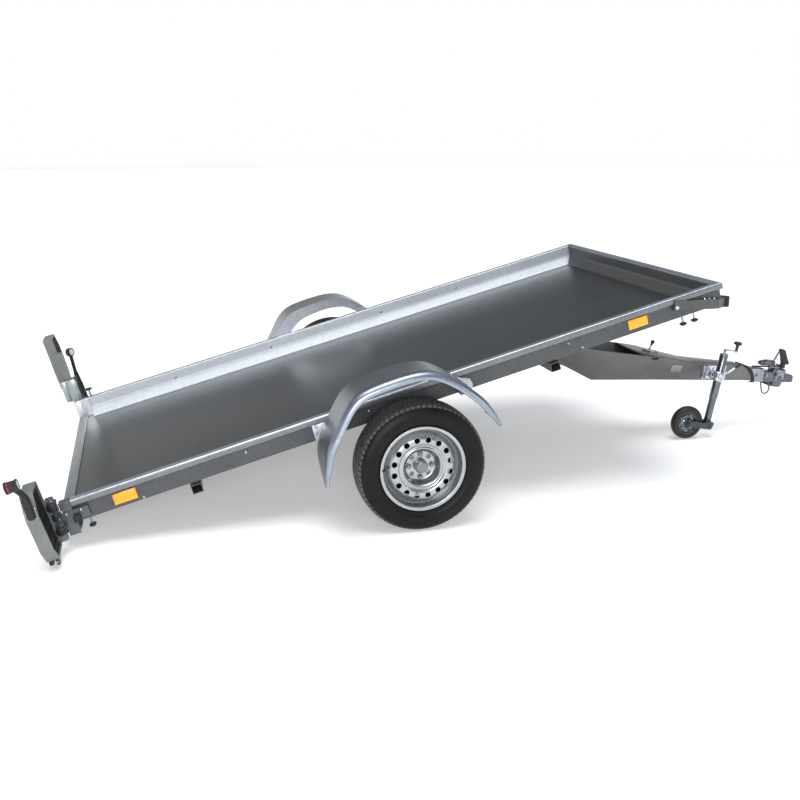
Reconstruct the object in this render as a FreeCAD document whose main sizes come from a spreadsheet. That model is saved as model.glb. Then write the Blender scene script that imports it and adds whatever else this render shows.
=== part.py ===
import FreeCAD, Part
import math
import os
from FreeCAD import Vector as V, Placement, Rotation

os.makedirs("parts", exist_ok=True)

# Tilt-bed utility trailer. World frame: +X is the way it is towed, +Z is up.
# Bed pieces are drawn in bed axes (u forward, v left, w up, from the axle
# centre) and turned nose-up; drawbar pieces are drawn in drawbar axes (from
# the hinge under the bed) and turned nose-down.
doc = FreeCAD.newDocument("trailer")
sheet = doc.addObject("Spreadsheet::Sheet", "sizes")
SIZES = [
    ("x_off", -430.82, "model x of the axle line"),
    ("wheel_r", 273.5, "tyre radius"),
    ("tilt", 14.83, "bed nose-up angle"),
    ("bed_front", 1556.0, "front edge from the axle"),
    ("bed_rear", -1404.0, "rear edge from the axle"),
    ("bed_hw", 790.0, "half width over the lips"),
    ("lip_w", 290.0, "height of the rail top over the axle"),
    ("lip_h", 33.0, "height of the rolled lip"),
    ("skirt_v", 779.0, "outer face of the skirt"),
    ("skirt_w", 193.0, "bottom edge of the skirt"),
    ("wall_v", 753.0, "inner face of the side wall"),
    ("flange_v", 708.0, "inner edge of the floor flange"),
    ("sheet_t", 2.0, "galvanised sheet"),
    ("floor_w", 190.0, "top of the floor"),
    ("floor_t", 12.0, "plywood floor"),
    ("cross_w", 45.0, "cross-member width"),
    ("cross_h", 38.0, "cross-member depth"),
    ("cross_t", 2.5, "cross-member wall"),
    ("axle_u", 150.0, "axle tube centre"),
    ("axle_w", 62.0, "axle tube centre"),
    ("axle_s", 55.0, "axle tube size"),
    ("tyre_v", 912.0, "tyre centre"),
    ("tyre_hw", 78.0, "half the tyre's width"),
    ("rim_r", 182.0, "rim flange radius"),
    ("guard_in", 797.0, "inner edge of the mudguard"),
    ("guard_out", 1000.0, "outer edge of the mudguard"),
    ("piv_u", 800.0, "drawbar hinge"),
    ("piv_w", 104.0, "drawbar hinge"),
    ("bar_pitch", 4.8, "drawbar nose-down angle"),
    ("bar_hw", 40.0, "drawbar half width at the nose"),
    ("bar_rear_hw", 96.0, "drawbar half width at the hinge"),
    ("bar_t", 3.0, "drawbar plate"),
    ("jockey_r", 90.0, "jockey wheel radius"),
    ("jockey_y", -150.0, "jockey tube, to the right of the drawbar"),
    ("jockey_lean", 10.5, "jockey tube, top forward"),
    ("ball_r", 25.4, "socket radius of the coupling"),
    ("lamp_drop", 215.0, "right lamp board below the left one"),
]
for i, (name, value, note) in enumerate(SIZES, start=1):
    sheet.set("A%d" % i, str(value))
    sheet.setAlias("A%d" % i, name)
    sheet.set("B%d" % i, note)
doc.recompute()
S = {name: float(getattr(sheet, name)) for name, _, _ in SIZES}

PLANES = {"XY": "XY_Plane", "XZ": "XZ_Plane", "YZ": "YZ_Plane"}
count = {}


def name_of(base):
    count[base] = count.get(base, 0) + 1
    return "%s_%d" % (base, count[base])


def ev(x):
    """A number, or the value of a sheet expression."""
    if isinstance(x, (int, float)):
        return float(x)
    return sheet_value(x)


def sheet_value(text):
    total = 0.0
    for term in text.replace("-", "+-").split("+"):
        term = term.strip()
        if not term:
            continue
        sign = -1.0 if term.startswith("-") else 1.0
        term = term.lstrip("-").strip()
        value = 1.0
        for part in term.split("*"):
            part = part.strip()
            value *= S[part] if part in S else float(part)
        total += sign * value
    return total


def bind(obj, prop, x):
    """Set a property, and bind it to the sheet when x is an expression."""
    if isinstance(x, str):
        text = x
        for key in sorted(S, key=len, reverse=True):
            text = text.replace(key, "@" + key + "@")
        out, inside = "", text.split("@")
        for k, piece in enumerate(inside):
            out += "sizes." + piece if piece in S else piece
        obj.setExpression(prop, out)
    else:
        setattr(obj, prop, float(x))


def add_profile(sk, loops):
    """Closed loops of straight edges; every corner is dimensioned."""
    for pts in loops:
        n0 = sk.GeometryCount
        xy = [(ev(p[0]), ev(p[1])) for p in pts]
        n = len(xy)
        for k in range(n):
            a, b = xy[k], xy[(k + 1) % n]
            sk.addGeometry(Part.LineSegment(V(a[0], a[1], 0), V(b[0], b[1], 0)), False)
        import Sketcher
        for k in range(n):
            sk.addConstraint(Sketcher.Constraint("Coincident", n0 + k, 2, n0 + (k + 1) % n, 1))
        for k in range(n):
            for axis, kind in ((0, "DistanceX"), (1, "DistanceY")):
                c = sk.addConstraint(Sketcher.Constraint(kind, -1, 1, n0 + k, 1, xy[k][axis]))
                if isinstance(pts[k][axis], str):
                    text = pts[k][axis]
                    for key in sorted(S, key=len, reverse=True):
                        text = text.replace(key, "@" + key + "@")
                    out = "".join("sizes." + q if q in S else q for q in text.split("@"))
                    sk.setExpression("Constraints[%d]" % c, out)


def body(base):
    b = doc.addObject("PartDesign::Body", name_of(base))
    return b


def sketch(b, plane, loops, circles=(), offset=0.0):
    sk = b.newObject("Sketcher::SketchObject", name_of("sk"))
    for f in b.Origin.OriginFeatures:
        if getattr(f, "Role", "") == PLANES[plane]:
            sk.AttachmentSupport = (f, [""])
    sk.MapMode = "FlatFace"
    if offset:
        sk.AttachmentOffset = Placement(V(0, 0, offset), Rotation())
    add_profile(sk, loops)
    import Sketcher
    for cx, cy, r in circles:
        g = sk.addGeometry(Part.Circle(V(ev(cx), ev(cy), 0), V(0, 0, 1), ev(r)), False)
        sk.addConstraint(Sketcher.Constraint("DistanceX", -1, 1, g, 3, ev(cx)))
        sk.addConstraint(Sketcher.Constraint("DistanceY", -1, 1, g, 3, ev(cy)))
        sk.addConstraint(Sketcher.Constraint("Radius", g, ev(r)))
    return sk


def pad(base, plane, loops, length, circles=(), offset=0.0, sym=False):
    """A PartDesign body: a profile on an origin plane, padded."""
    b = body(base)
    sk = sketch(b, plane, loops, circles, offset)
    p = b.newObject("PartDesign::Pad", name_of("pad"))
    p.Profile = sk
    bind(p, "Length", length)
    if sym:
        p.SideType = "Symmetric"
    sk.Visibility = False
    b.Tip = p
    return b


def revolve(base, plane, loops, axis="V_Axis"):
    b = body(base)
    sk = sketch(b, plane, loops)
    r = b.newObject("PartDesign::Revolution", name_of("rev"))
    r.Profile = sk
    r.ReferenceAxis = (sk, [axis])
    r.Angle = 360.0
    sk.Visibility = False
    b.Tip = r
    return b


def box(x0, x1, y0, y1, z0, z1):
    o = doc.addObject("Part::Box", name_of("box"))
    vals = [ev(q) for q in (x0, x1, y0, y1, z0, z1)]
    o.Length, o.Width, o.Height = vals[1] - vals[0], vals[3] - vals[2], vals[5] - vals[4]
    o.Placement = Placement(V(vals[0], vals[2], vals[4]), Rotation())
    return o


def cyl(r, h, at, direction=(0, 0, 1)):
    o = doc.addObject("Part::Cylinder", name_of("cyl"))
    bind(o, "Radius", r)
    o.Height = ev(h)
    o.Placement = Placement(V(*[ev(q) for q in at]), Rotation(V(0, 0, 1), V(*direction)))
    return o


def rod(p0, p1, r):
    """A round bar from p0 to p1."""
    a, b = V(*[ev(q) for q in p0]), V(*[ev(q) for q in p1])
    return cyl(r, (b - a).Length, (a.x, a.y, a.z), tuple(b - a))


def ball(r, at):
    o = doc.addObject("Part::Sphere", name_of("ball"))
    o.Radius = ev(r)
    o.Placement = Placement(V(*[ev(q) for q in at]), Rotation())
    return o


def cut(a, *bs):
    tool = bs[0] if len(bs) == 1 else fuse(*bs)
    o = doc.addObject("Part::Cut", name_of("cut"))
    o.Base, o.Tool = a, tool
    return o


def fuse(*items):
    if len(items) == 1:
        return items[0]
    o = doc.addObject("Part::MultiFuse", name_of("fuse"))
    o.Shapes = list(items)
    return o


def common(*items):
    o = doc.addObject("Part::MultiCommon", name_of("common"))
    o.Shapes = list(items)
    return o


def group(*items):
    o = doc.addObject("Part::Compound", name_of("group"))
    o.Links = list(items)
    return o


def mirror_y(item):
    o = doc.addObject("Part::Mirroring", name_of("mirror"))
    o.Source = item
    o.Normal = V(0, 1, 0)
    o.Base = V(0, 0, 0)
    return o


def turned(item, at=(0, 0, 0), rot=Rotation(), centre=None):
    """The item in a compound of its own, moved."""
    o = group(item)
    o.Placement = Placement(V(*at), rot, V(*centre)) if centre else Placement(V(*at), rot)
    return o


def offset_path(path, t):
    """Outline of a sheet of thickness t to the left of an open path."""
    n = len(path)
    out = []
    for k in range(n):
        dirs = []
        if k > 0:
            dirs.append((path[k][0] - path[k - 1][0], path[k][1] - path[k - 1][1]))
        if k < n - 1:
            dirs.append((path[k + 1][0] - path[k][0], path[k + 1][1] - path[k][1]))
        norms = []
        for dx, dy in dirs:
            m = math.hypot(dx, dy)
            norms.append((-dy / m, dx / m))
        if len(norms) == 1:
            nx, ny = norms[0]
            out.append((path[k][0] + nx * t, path[k][1] + ny * t))
        else:
            (ax, ay), (bx, by) = norms
            s = 1.0 + ax * bx + ay * by
            out.append((path[k][0] + (ax + bx) * t / s, path[k][1] + (ay + by) * t / s))
    return list(path) + out[::-1]


NODES = []
TILT = Rotation(V(0, 1, 0), -S["tilt"])
BED = Placement(V(S["x_off"], 0, S["wheel_r"]), TILT)
HINGE = BED.multVec(V(S["piv_u"], 0, S["piv_w"]))
BAR = Placement(HINGE, Rotation(V(0, 1, 0), S["bar_pitch"]))
WORLD = Placement(V(S["x_off"], 0, 0), Rotation())


def node(label, item, where):
    """One named sub-part, placed in the world by its frame."""
    o = item if item.TypeId == "Part::Compound" and item.Placement.isIdentity() else group(item)
    o.Label = label
    o.Placement = where
    NODES.append(o)
    return o


def ngon(r, n, cx=0.0, cy=0.0, turn=0.0):
    return [(cx + r * math.cos(math.radians(turn) + 2 * math.pi * k / n),
             cy + r * math.sin(math.radians(turn) + 2 * math.pi * k / n)) for k in range(n)]


def arc_pts(cx, cy, r, a0, a1, n):
    return [(cx + r * math.cos(math.radians(a0 + (a1 - a0) * k / n)),
             cy + r * math.sin(math.radians(a0 + (a1 - a0) * k / n))) for k in range(n + 1)]


# ---------------------------------------------------------------- bed
T = S["sheet_t"]
LW, SV, WV, FV, SK = S["lip_w"], S["skirt_v"], S["wall_v"], S["flange_v"], S["skirt_w"]

# The rail is one folded sheet: skirt, rolled lip, inner wall, slope and floor
# flange. The path runs from the skirt's bottom round to the flange's edge.
rail_path = [(SV, SK), (SV, LW - S["lip_h"]), (S["bed_hw"], LW - S["lip_h"] + 5.0),
             (S["bed_hw"], LW - 6.0), (S["bed_hw"] - 6.0, LW), (WV + 3.0, LW), (WV, LW - 3.0),
             (WV, 234.0), (FV + 12.0, S["floor_w"] + T + 0.5), (FV, S["floor_w"] + T + 0.5)]
rail_sheet = offset_path(rail_path, T)


def rail(u0, u1, mitre):
    """Side rail along u, its front end cut at 45 degrees."""
    b = pad("rail", "YZ", [rail_sheet], u1 - u0, offset=u0)
    wedge = pad("mitre", "XY", [[("bed_front", "bed_hw"), ("bed_front+50", "bed_hw"), ("bed_front+50", 600.0),
                                 ("bed_front-190", 600.0)]], 200.0, offset=140.0)
    return cut(b, wedge) if mitre else b


side = rail(S["bed_rear"] + 46.0, S["bed_front"] + 1.0, True)
side_r = mirror_y(rail(S["bed_rear"] + 46.0, S["bed_front"] + 1.0, True))
node("side_rails", group(side, side_r), BED)

# front rail: the same sheet along v, mitred at both ends
shift = S["bed_front"] - S["bed_hw"]
front_sheet = [(p[0] + shift, p[1]) for p in rail_sheet]
fr = pad("front_rail", "XZ", [front_sheet], "bed_hw*2-1", sym=True)
far_cut = pad("mitre", "XY", [[("bed_front+0.6", "bed_hw"), ("bed_front-199.4", 590.0), ("bed_front-199.4", "bed_hw")]],
              200.0, offset=140.0)
near_cut = pad("mitre", "XY", [[("bed_front+0.6", "-bed_hw"), ("bed_front-199.4", -590.0),
                                ("bed_front-199.4", "-bed_hw")]], 200.0, offset=140.0)
node("front_rail", cut(fr, far_cut, near_cut), BED)

floor = pad("floor", "XY", [[("bed_rear+8", -740.0), ("bed_front-48", -740.0), ("bed_front-48", 740.0),
                             ("bed_rear+8", 740.0)]], "floor_t", offset=S["floor_w"] - S["floor_t"])
node("floor_panel", floor, BED)

# rear sill: an angle over the floor's rear edge
sill = pad("sill", "XZ", [[("bed_rear", 148.0), ("bed_rear+3", 148.0), ("bed_rear+3", "floor_w+1"),
                           ("bed_rear+45", "floor_w+1"), ("bed_rear+45", "floor_w+4"),
                           ("bed_rear", "floor_w+4")]], 1496.0, sym=True)
node("rear_sill", sill, BED)


def corner_post(sgn):
    outer = box(S["bed_rear"], S["bed_rear"] + 44.5, 750.0, S["bed_hw"], 148.0, LW)
    inner = box(S["bed_rear"] + 2.5, S["bed_rear"] + 50.0, 752.5, S["bed_hw"] - 2.5, 140.0, LW - 2.5)
    p = cut(outer, inner)
    return p if sgn > 0 else mirror_y(p)


node("rear_corner_posts", group(corner_post(1), corner_post(-1)), BED)


def tube_v(u, hw, top, h, w, t):
    o = box(u - w / 2, u + w / 2, -hw, hw, top - h, top)
    i = box(u - w / 2 + t, u + w / 2 - t, -hw - 1, hw + 1, top - h + t, top - t)
    return cut(o, i)


UNDER = S["floor_w"] - S["floor_t"]
members = [tube_v(u, 776.0, UNDER, S["cross_h"], S["cross_w"], S["cross_t"]) for u in (-884.0, 720.0)]
for u in (-1330.0, -300.0, 240.0, 1010.0, 1440.0):
    shallow = [tube_v(u, 520.0, UNDER, 26.0, S["cross_w"], S["cross_t"])]
    if u > -900.0:
        shallow += [box(u - 22.5, u + 22.5, v, v + 40.0, 140.0, 152.5) for v in (300.0, -340.0)]
    members.append(fuse(*shallow))
node("cross_members", group(*members), BED)


def chassis_rail(v0, v1, u0, u1):
    o = box(u0, u1, v0, v1, 90.0, UNDER - S["cross_h"])
    i = box(u0 - 1, u1 + 1, v0 + 3.0, v1 - 3.0, 93.0, UNDER - S["cross_h"] - 3.0)
    return cut(o, i)


# axle brackets: a plate each side of each rail, hung over the axle tube
plates = []
for sgn in (1, -1):
    v = sorted((sgn * 300.0, sgn * 340.0))
    for vp in (v[0] - 4.0, v[1]):
        pl = pad("bracket", "XZ", [[(60.0, 139.0), (240.0, 139.0), (200.0, 34.0), (100.0, 34.0)]], 4.0,
                 offset=-(vp + 4.0))
        hole = box(S["axle_u"] - S["axle_s"] / 2, S["axle_u"] + S["axle_s"] / 2, vp - 1, vp + 5,
                   S["axle_w"] - S["axle_s"] / 2, S["axle_w"] + S["axle_s"] / 2)
        plates.append(cut(pl, hole))
node("axle_brackets", group(*plates), BED)
node("chassis_rails", group(chassis_rail(300.0, 340.0, -900.0, 1460.0), chassis_rail(-340.0, -300.0, -900.0, 1460.0)),
     BED)

ax = S["axle_s"] / 2
axle = cut(box(S["axle_u"] - ax, S["axle_u"] + ax, -700.0, 700.0, S["axle_w"] - ax, S["axle_w"] + ax),
           box(S["axle_u"] - ax + 4, S["axle_u"] + ax - 4, -701.0, 701.0, S["axle_w"] - ax + 4, S["axle_w"] + ax - 4))
node("axle_tube", axle, BED)


def swing_arm(sgn):
    arm = pad("arm", "XZ", [[(-30.0, -22.0), (-12.0, -32.0), (20.0, -32.0), (188.0, 22.0), (190.0, 96.0),
                             (118.0, 100.0), (20.0, 34.0), (-12.0, 32.0), (-30.0, 22.0)]], 30.0, offset=-731.0)
    stub = cyl(17.0, 166.0, (0, 729, 0), (0, 1, 0))
    flange = cyl(34.0, 12.0, (0, 729, 0), (0, 1, 0))
    s = fuse(arm, stub, flange)
    return s if sgn > 0 else mirror_y(s)


node("swing_arms", group(swing_arm(1), swing_arm(-1)), BED)

# ---------------------------------------------------------------- drawbar hinge under the bed
lugs = []
for vp in (184.0, -192.0):
    lug = pad("lug", "XZ", [[("piv_u-45", 139.5), ("piv_u+45", 139.5), ("piv_u+24", "piv_w-24"),
                             ("piv_u-24", "piv_w-24")]], 8.0, offset=-(vp + 8.0))
    hole = cyl(10.2, 12.0, (S["piv_u"], vp - 2.0, S["piv_w"]), (0, 1, 0))
    lugs.append(cut(lug, hole))
plate = box(S["piv_u"] - 54, S["piv_u"] + 70, -298.0, 298.0, 139.4, 145.4)
node("hinge_bracket", fuse(plate, *lugs), BED)

# ---------------------------------------------------------------- mudguards
guard_path = [(-402.0, 66.0), (-388.0, 125.0), (-353.0, 211.0), (-303.0, 273.0), (-247.0, 338.0), (-205.0, 373.0),
              (-165.0, 392.0), (-115.0, 401.0), (-40.0, 405.0), (40.0, 404.0), (100.0, 396.0), (150.0, 379.0),
              (200.0, 343.0), (250.0, 293.0), (298.0, 234.0), (330.0, 183.0), (352.0, 125.0), (361.0, 76.0)]


def mudguard(sgn):
    b = pad("guard", "XZ", [offset_path(guard_path, -2.0)], S["guard_out"] - S["guard_in"], offset=-S["guard_out"])
    # turned-down outer edge
    edge = pad("edge", "XZ", [offset_path(guard_path, -32.0)], 3.0, offset=-S["guard_out"])
    # inner wall with an arch
    wall_out = [(-247.0, 336.5), (-205.0, 371.5), (-165.0, 390.5), (-115.0, 399.5), (-40.0, 403.5), (40.0, 402.5),
                (100.0, 394.5), (150.0, 377.5), (200.0, 341.5), (262.0, 276.0), (262.0, 262.0), (206.0, 262.0)]
    arch = [(206.0, 263.0), (197.0, 283.0), (184.0, 297.5), (161.0, 316.5), (137.0, 331.0), (115.0, 340.0),
            (70.0, 349.5), (24.0, 352.5), (-24.0, 351.0), (-72.0, 346.5), (-121.0, 337.0), (-158.0, 317.0),
            (-190.0, 292.0), (-216.0, 263.0)]
    wall_in = [(-217.0, 262.0), (-303.0, 262.0), (-303.0, 271.5)]
    wall = pad("inner_wall", "XZ", [wall_out + [p for p in arch if p[1] > 262.0] + wall_in], 2.0,
               offset=-(S["guard_in"] + 2.0))
    # the rear end runs to a point at the outer edge
    point = pad("point", "YZ", [[(790.0, 153.0), (1001.0, 65.6), (1001.0, 30.0), (790.0, 30.0)]], 120.0, offset=-430.0)
    s = cut(fuse(b, edge, wall), point)
    return s if sgn > 0 else mirror_y(s)


node("mudguard_left", mudguard(1), BED)
node("mudguard_right", mudguard(-1), BED)


def guard_brackets(sgn):
    made = []
    for u, w0, w1 in ((-300.0, 200.0, 262.0), (285.0, 196.0, 226.0)):
        made.append(box(u - 20.0, u + 20.0, SV + 0.5, 835.0, w0, w0 + 4.0))
    p = group(*made)
    return p if sgn > 0 else mirror_y(p)


node("mudguard_brackets", group(guard_brackets(1), guard_brackets(-1)), BED)

# ---------------------------------------------------------------- wheels (world axes, spin axis Y)
WHEEL = Placement(V(S["x_off"], 0, S["wheel_r"]), Rotation())


def wheel(sgn):
    c, h, R, r = S["tyre_v"], S["tyre_hw"], S["wheel_r"], S["rim_r"]
    half = [(c - 56.0, 171.0), (c - 60.0, 183.0), (c - 74.0, 205.0), (c - h, 224.0), (c - 76.0, 240.0),
            (c - 66.0, 262.0), (c - 58.0, 270.0), (c - 40.0, R)]
    prof = half + [(2 * c - p[0], p[1]) for p in half[::-1]] + [(c + 50.0, 173.5), (c - 50.0, 173.5)]
    tyre = revolve("tyre", "YZ", [prof], "H_Axis")
    # rim barrel and disc as one folded section
    outer = [(c - 70.0, r), (c - 62.5, r), (c - 62.5, 169.0), (c - 48.0, 168.0), (c - 40.0, 172.0), (c + 40.0, 172.0),
             (c + 48.0, 168.0), (c + 62.5, 169.0), (c + 62.5, r), (c + 70.0, r)]
    rim_sec = outer + [(c + 70.0, 165.0), (c + 44.0, 164.0), (c + 36.0, 168.5), (c - 20.0, 168.5), (c - 40.0, 168.5),
                       (c - 48.0, 164.0), (c - 70.0, 165.0)]
    rim = revolve("rim", "YZ", [rim_sec], "H_Axis")
    disc_sec = [(c + 8.0, 168.6), (c + 12.0, 168.6), (c + 30.0, 150.0), (c + 52.0, 128.0), (c + 56.0, 112.0),
                (c + 40.0, 92.0), (c + 24.0, 78.0), (c + 18.0, 62.0), (c + 18.0, 28.5), (c + 14.0, 28.5),
                (c + 14.0, 64.0), (c + 20.5, 80.0), (c + 37.0, 94.5), (c + 52.0, 113.0), (c + 48.5, 126.0),
                (c + 27.0, 147.5)]
    disc = revolve("disc", "YZ", [disc_sec], "H_Axis")
    holes = []
    for k in range(16):
        a = 2 * math.pi * (k + 0.5) / 16
        holes.append(cyl(11.0, 60.0, (117.0 * math.cos(a), c + 10.0, 117.0 * math.sin(a)), (0, 1, 0)))
    for k in range(4):
        a = 2 * math.pi * (k + 0.5) / 4
        holes.append(cyl(6.2, 30.0, (50.0 * math.cos(a), c + 5.0, 50.0 * math.sin(a)), (0, 1, 0)))
    disc_cut = cut(disc, *holes)
    rims = fuse(rim, disc_cut)
    hub_sec = [(c - 78.0, 18.0), (c - 78.0, 52.0), (c - 70.0, 60.0), (c - 30.0, 62.0), (c - 24.0, 66.0),
               (c + 13.5, 66.0), (c + 13.5, 28.0), (c + 42.0, 28.0), (c + 52.0, 22.0), (c + 54.0, 0.0),
               (c + 48.0, 0.0), (c + 46.0, 18.0), (c + 20.0, 22.0), (c - 12.0, 22.0), (c - 12.0, 18.0)]
    hub = revolve("hub", "YZ", [hub_sec], "H_Axis")
    bolts = []
    for k in range(4):
        a = 2 * math.pi * (k + 0.5) / 4
        x, z = 50.0 * math.cos(a), 50.0 * math.sin(a)
        bolts.append(cyl(6.0, 6.0, (x, c + 13.0, z), (0, 1, 0)))
        head = pad("bolt", "XZ", [ngon(9.8, 6, x, z)], 9.0, offset=-(c + 27.5))
        bolts.append(head)
    hubs = fuse(hub, *[cyl(6.0, 6.0, (50.0 * math.cos(2 * math.pi * (k + 0.5) / 4), c + 13.0,
                                      50.0 * math.sin(2 * math.pi * (k + 0.5) / 4)), (0, 1, 0)) for k in range(4)])
    heads = group(*[bolts[k] for k in (1, 3, 5, 7)])
    if sgn < 0:
        return mirror_y(tyre), mirror_y(rims), mirror_y(hubs), mirror_y(heads)
    return tyre, rims, hubs, heads


for label, sgn in (("left", 1), ("right", -1)):
    ty, ri, hu, he = wheel(sgn)
    node("tyre_" + label, ty, WHEEL)
    node("rim_" + label, ri, WHEEL)
    node("hub_" + label, group(hu), WHEEL)

# ---------------------------------------------------------------- bed fittings
def reflectors(sgn):
    a = box(-1204.0, -1110.0, SV + 0.5, SV + 9.0, 207.0, 254.0)
    b = box(1084.0, 1178.0, SV + 0.5, SV + 9.0, 212.0, 256.0)
    p = group(a, b)
    return p if sgn > 0 else mirror_y(p)


node("side_markers", group(reflectors(1), reflectors(-1)), BED)

# front arm at each corner: a level bar outside the skirt that turns in round
# the bed's corner, with a rubber end
def front_arm(sgn):
    plan = [(-95.0, 780.0), (-95.0, 799.0), (125.0, 799.0), (169.0, 769.0), (150.0, 716.0), (146.0, 716.0),
            (146.0, 780.0)]
    tip = [(169.6, 768.8), (150.6, 715.8), (152.5, 700.0), (158.0, 697.5), (180.0, 741.0), (187.0, 757.0),
           (183.0, 763.5)]
    lean = Rotation(V(0, 1, 0), S["tilt"])
    g = turned(pad("arm", "XY", [plan], 43.0, offset=-13.5), at=(1398.0, 0.0, 226.0), rot=lean)
    bed_side = fuse(box(1200.0, 1545.8, 600.0, 779.7, 191.2, 300.0), box(1200.0, 1558.0, 600.0, 791.6, 254.6, 300.0))
    g = cut(g, bed_side)
    h = turned(pad("cap", "XY", [tip], 46.5, offset=-15.2), at=(1398.0, 0.0, 226.0), rot=lean)
    h = cut(h, bed_side)
    if sgn < 0:
        return mirror_y(g), mirror_y(h)
    return g, h


arms_l, arms_r = front_arm(1), front_arm(-1)
node("front_arms", group(arms_l[0], arms_r[0]), BED)
node("front_arm_caps", group(arms_l[1], arms_r[1]), BED)

catch = fuse(box(1557.0, 1561.0, -45.0, 45.0, 196.0, 245.0), box(1557.0, 1590.0, -45.0, 45.0, 192.5, 196.5),
             box(1586.0, 1590.0, -45.0, 45.0, 180.0, 194.0))
node("latch_catch", catch, BED)


def t_screws(sgn):
    made = []
    for u in (1352.0, 1409.0):
        made.append(fuse(rod((u, sgn * 765.0, 189.0), (u, sgn * 765.0, 156.0), 4.0),
                         rod((u - 15.0, sgn * 765.0, 154.0), (u + 15.0, sgn * 765.0, 154.0), 4.0)))
    for u in (-1312.0,):
        made.append(fuse(rod((u, sgn * 765.0, 189.0), (u, sgn * 765.0, 158.0), 4.0),
                         rod((u - 13.0, sgn * 765.0, 156.0), (u + 13.0, sgn * 765.0, 156.0), 4.0)))
    return group(*made)


top_screw = fuse(rod((-1342.0, 772.0, 290.6), (-1342.0, 772.0, 328.0), 4.5),
                 rod((-1362.0, 772.0, 330.0), (-1322.0, 772.0, 330.0), 5.0))
node("clamp_screws", group(t_screws(1), t_screws(-1), top_screw), BED)

# ---------------------------------------------------------------- lamp boards
# Guide: an upright square sleeve behind each rear corner, slotted at its outer
# rear edge. The board's upright bar slides in it and a web joins bar and board.
# The left clamp is set higher than the right one, as its board is.
def lamp_guide(sgn, w0, w1):
    outer = [box(-1444.0, -1406.0, 785.0, 823.0, w0, w1)]
    for wc in (w0, w1 - 12.0):
        outer.append(box(-1450.0, -1405.0, 779.0, 829.0, wc, wc + 12.0))
    outer.append(box(-1409.0, -1404.5, 752.0, 823.0, 206.0, max(250.0, w0 + 14.0)))
    outer.append(box(-1409.0, -1300.0, 790.5, 795.5, 206.0, 250.0))
    outer.append(box(-1330.0, -1300.0, 779.5, 795.5, 206.0, 250.0))
    if sgn > 0:
        outer.append(box(-1471.0, -1391.0, 778.5, 785.5, 291.0, w1))
        outer.append(box(-1409.0, -1404.5, 822.0, 1055.0, 205.0, 226.0))
        outer.append(box(-1427.0, -1393.0, 1020.0, 1056.0, 222.0, 226.0))
    bore = fuse(box(-1441.0, -1409.0, 788.0, 820.0, w0 - 1.0, w1 + 1.0),
                box(-1452.0, -1430.0, 815.0, 835.0, w0 - 1.0, w1 + 1.0))
    s = cut(fuse(*outer), bore)
    return s if sgn > 0 else mirror_y(s)


node("lamp_guides", group(lamp_guide(1, 288.0, 408.0), lamp_guide(-1, 180.0, 312.0)), BED)

BW, BH = 180.0, 280.0


def lamp_board(sgn, top):
    """A tray open to the front, with its outer corners cut."""
    y0, y1, foot = 838.0, 838.0 + BW, top - BH
    bar_top = 560.0 if sgn > 0 else 330.0
    out = [(y0, top), (y0, foot), (y1 - 50.0, foot), (y1 - 12.0, foot + 55.0), (y1, top - 78.0), (y1 - 50.0, top)]
    inn = [(y0 + 2.0, top - 2.0), (y0 + 2.0, foot + 2.0), (y1 - 51.2, foot + 2.0), (y1 - 14.0, foot + 55.5),
           (y1 - 2.1, top - 78.8), (y1 - 51.2, top - 2.0)]
    tray = pad("tray", "YZ", [out], 50.0, offset=-1484.0)
    hollow = pad("tray_in", "YZ", [inn], 60.0, offset=-1482.0)
    s = cut(tray, hollow)
    bar = cut(box(-1440.0, -1410.0, 789.0, 819.0, foot, bar_top),
              box(-1437.0, -1413.0, 792.0, 816.0, foot - 1, bar_top + 1))
    web = box(-1439.0, -1435.0, 818.0, y0 + 1.0, foot + 2.0, bar_top - 2.0)
    s = fuse(cut(s, box(-1490.0, -1478.0, y0 + 15.0, y1 - 39.0, foot + 29.0, foot + 141.0)), bar, web)
    lamp = cut(box(-1490.0, -1456.0, y0 + 16.0, y1 - 40.0, foot + 30.0, foot + 140.0),
               box(-1487.0, -1450.0, y0 + 19.0, y1 - 43.0, foot + 33.0, foot + 137.0))
    tri = pad("tri", "YZ", [[(y0 + 22.0, top - 110.0), (y0 + 122.0, top - 110.0), (y0 + 72.0, top - 24.0)]], 4.0,
              offset=-1488.4)
    if sgn < 0:
        return [mirror_y(q) for q in (s, lamp, tri)]
    return [s, lamp, tri]


def marker_left():
    """The left marker lamp stands on a stalk from the guide, beside its board."""
    boot = fuse(rod((-1410.0, 1038.0, 226.4), (-1410.0, 1040.0, 380.0), 18.0), ball(18.0, (-1410.0, 1040.0, 380.0)))
    arm = fuse(rod((-1410.0, 1040.0, 385.0), (-1403.0, 1048.0, 482.0), 11.0))
    head = cyl(24.0, 40.0, (-1420.0, 1053.0, 500.0), (1, 0, 0))
    return fuse(boot, arm, head)


def marker_right(top):
    """The right marker lamp leans out from its board's outer wall."""
    mount = box(-1480.0, -1434.0, 1018.4, 1036.0, top - 84.0, top - 38.0)
    arm = fuse(rod((-1454.0, 1037.0, top - 72.0), (-1450.0, 1038.0, top + 10.0), 17.0),
               ball(17.2, (-1450.0, 1038.0, top + 10.0)),
               rod((-1450.0, 1038.0, top + 10.0), (-1466.0, 1052.0, top + 64.0), 12.5))
    head = cyl(22.0, 46.0, (-1498.0, 1055.0, top + 72.0), (1, 0, 0))
    return mirror_y(fuse(mount, arm, head))


for label, sgn, top in (("left", 1, 425.0 + S["lamp_drop"]), ("right", -1, 425.0)):
    s, lamp, tri = lamp_board(sgn, top)
    node("lamp_board_" + label, group(s), BED)
    node("tail_lamp_" + label, group(lamp, tri), BED)
    node("marker_lamp_" + label, group(marker_left() if sgn > 0 else marker_right(top)), BED)

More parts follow.
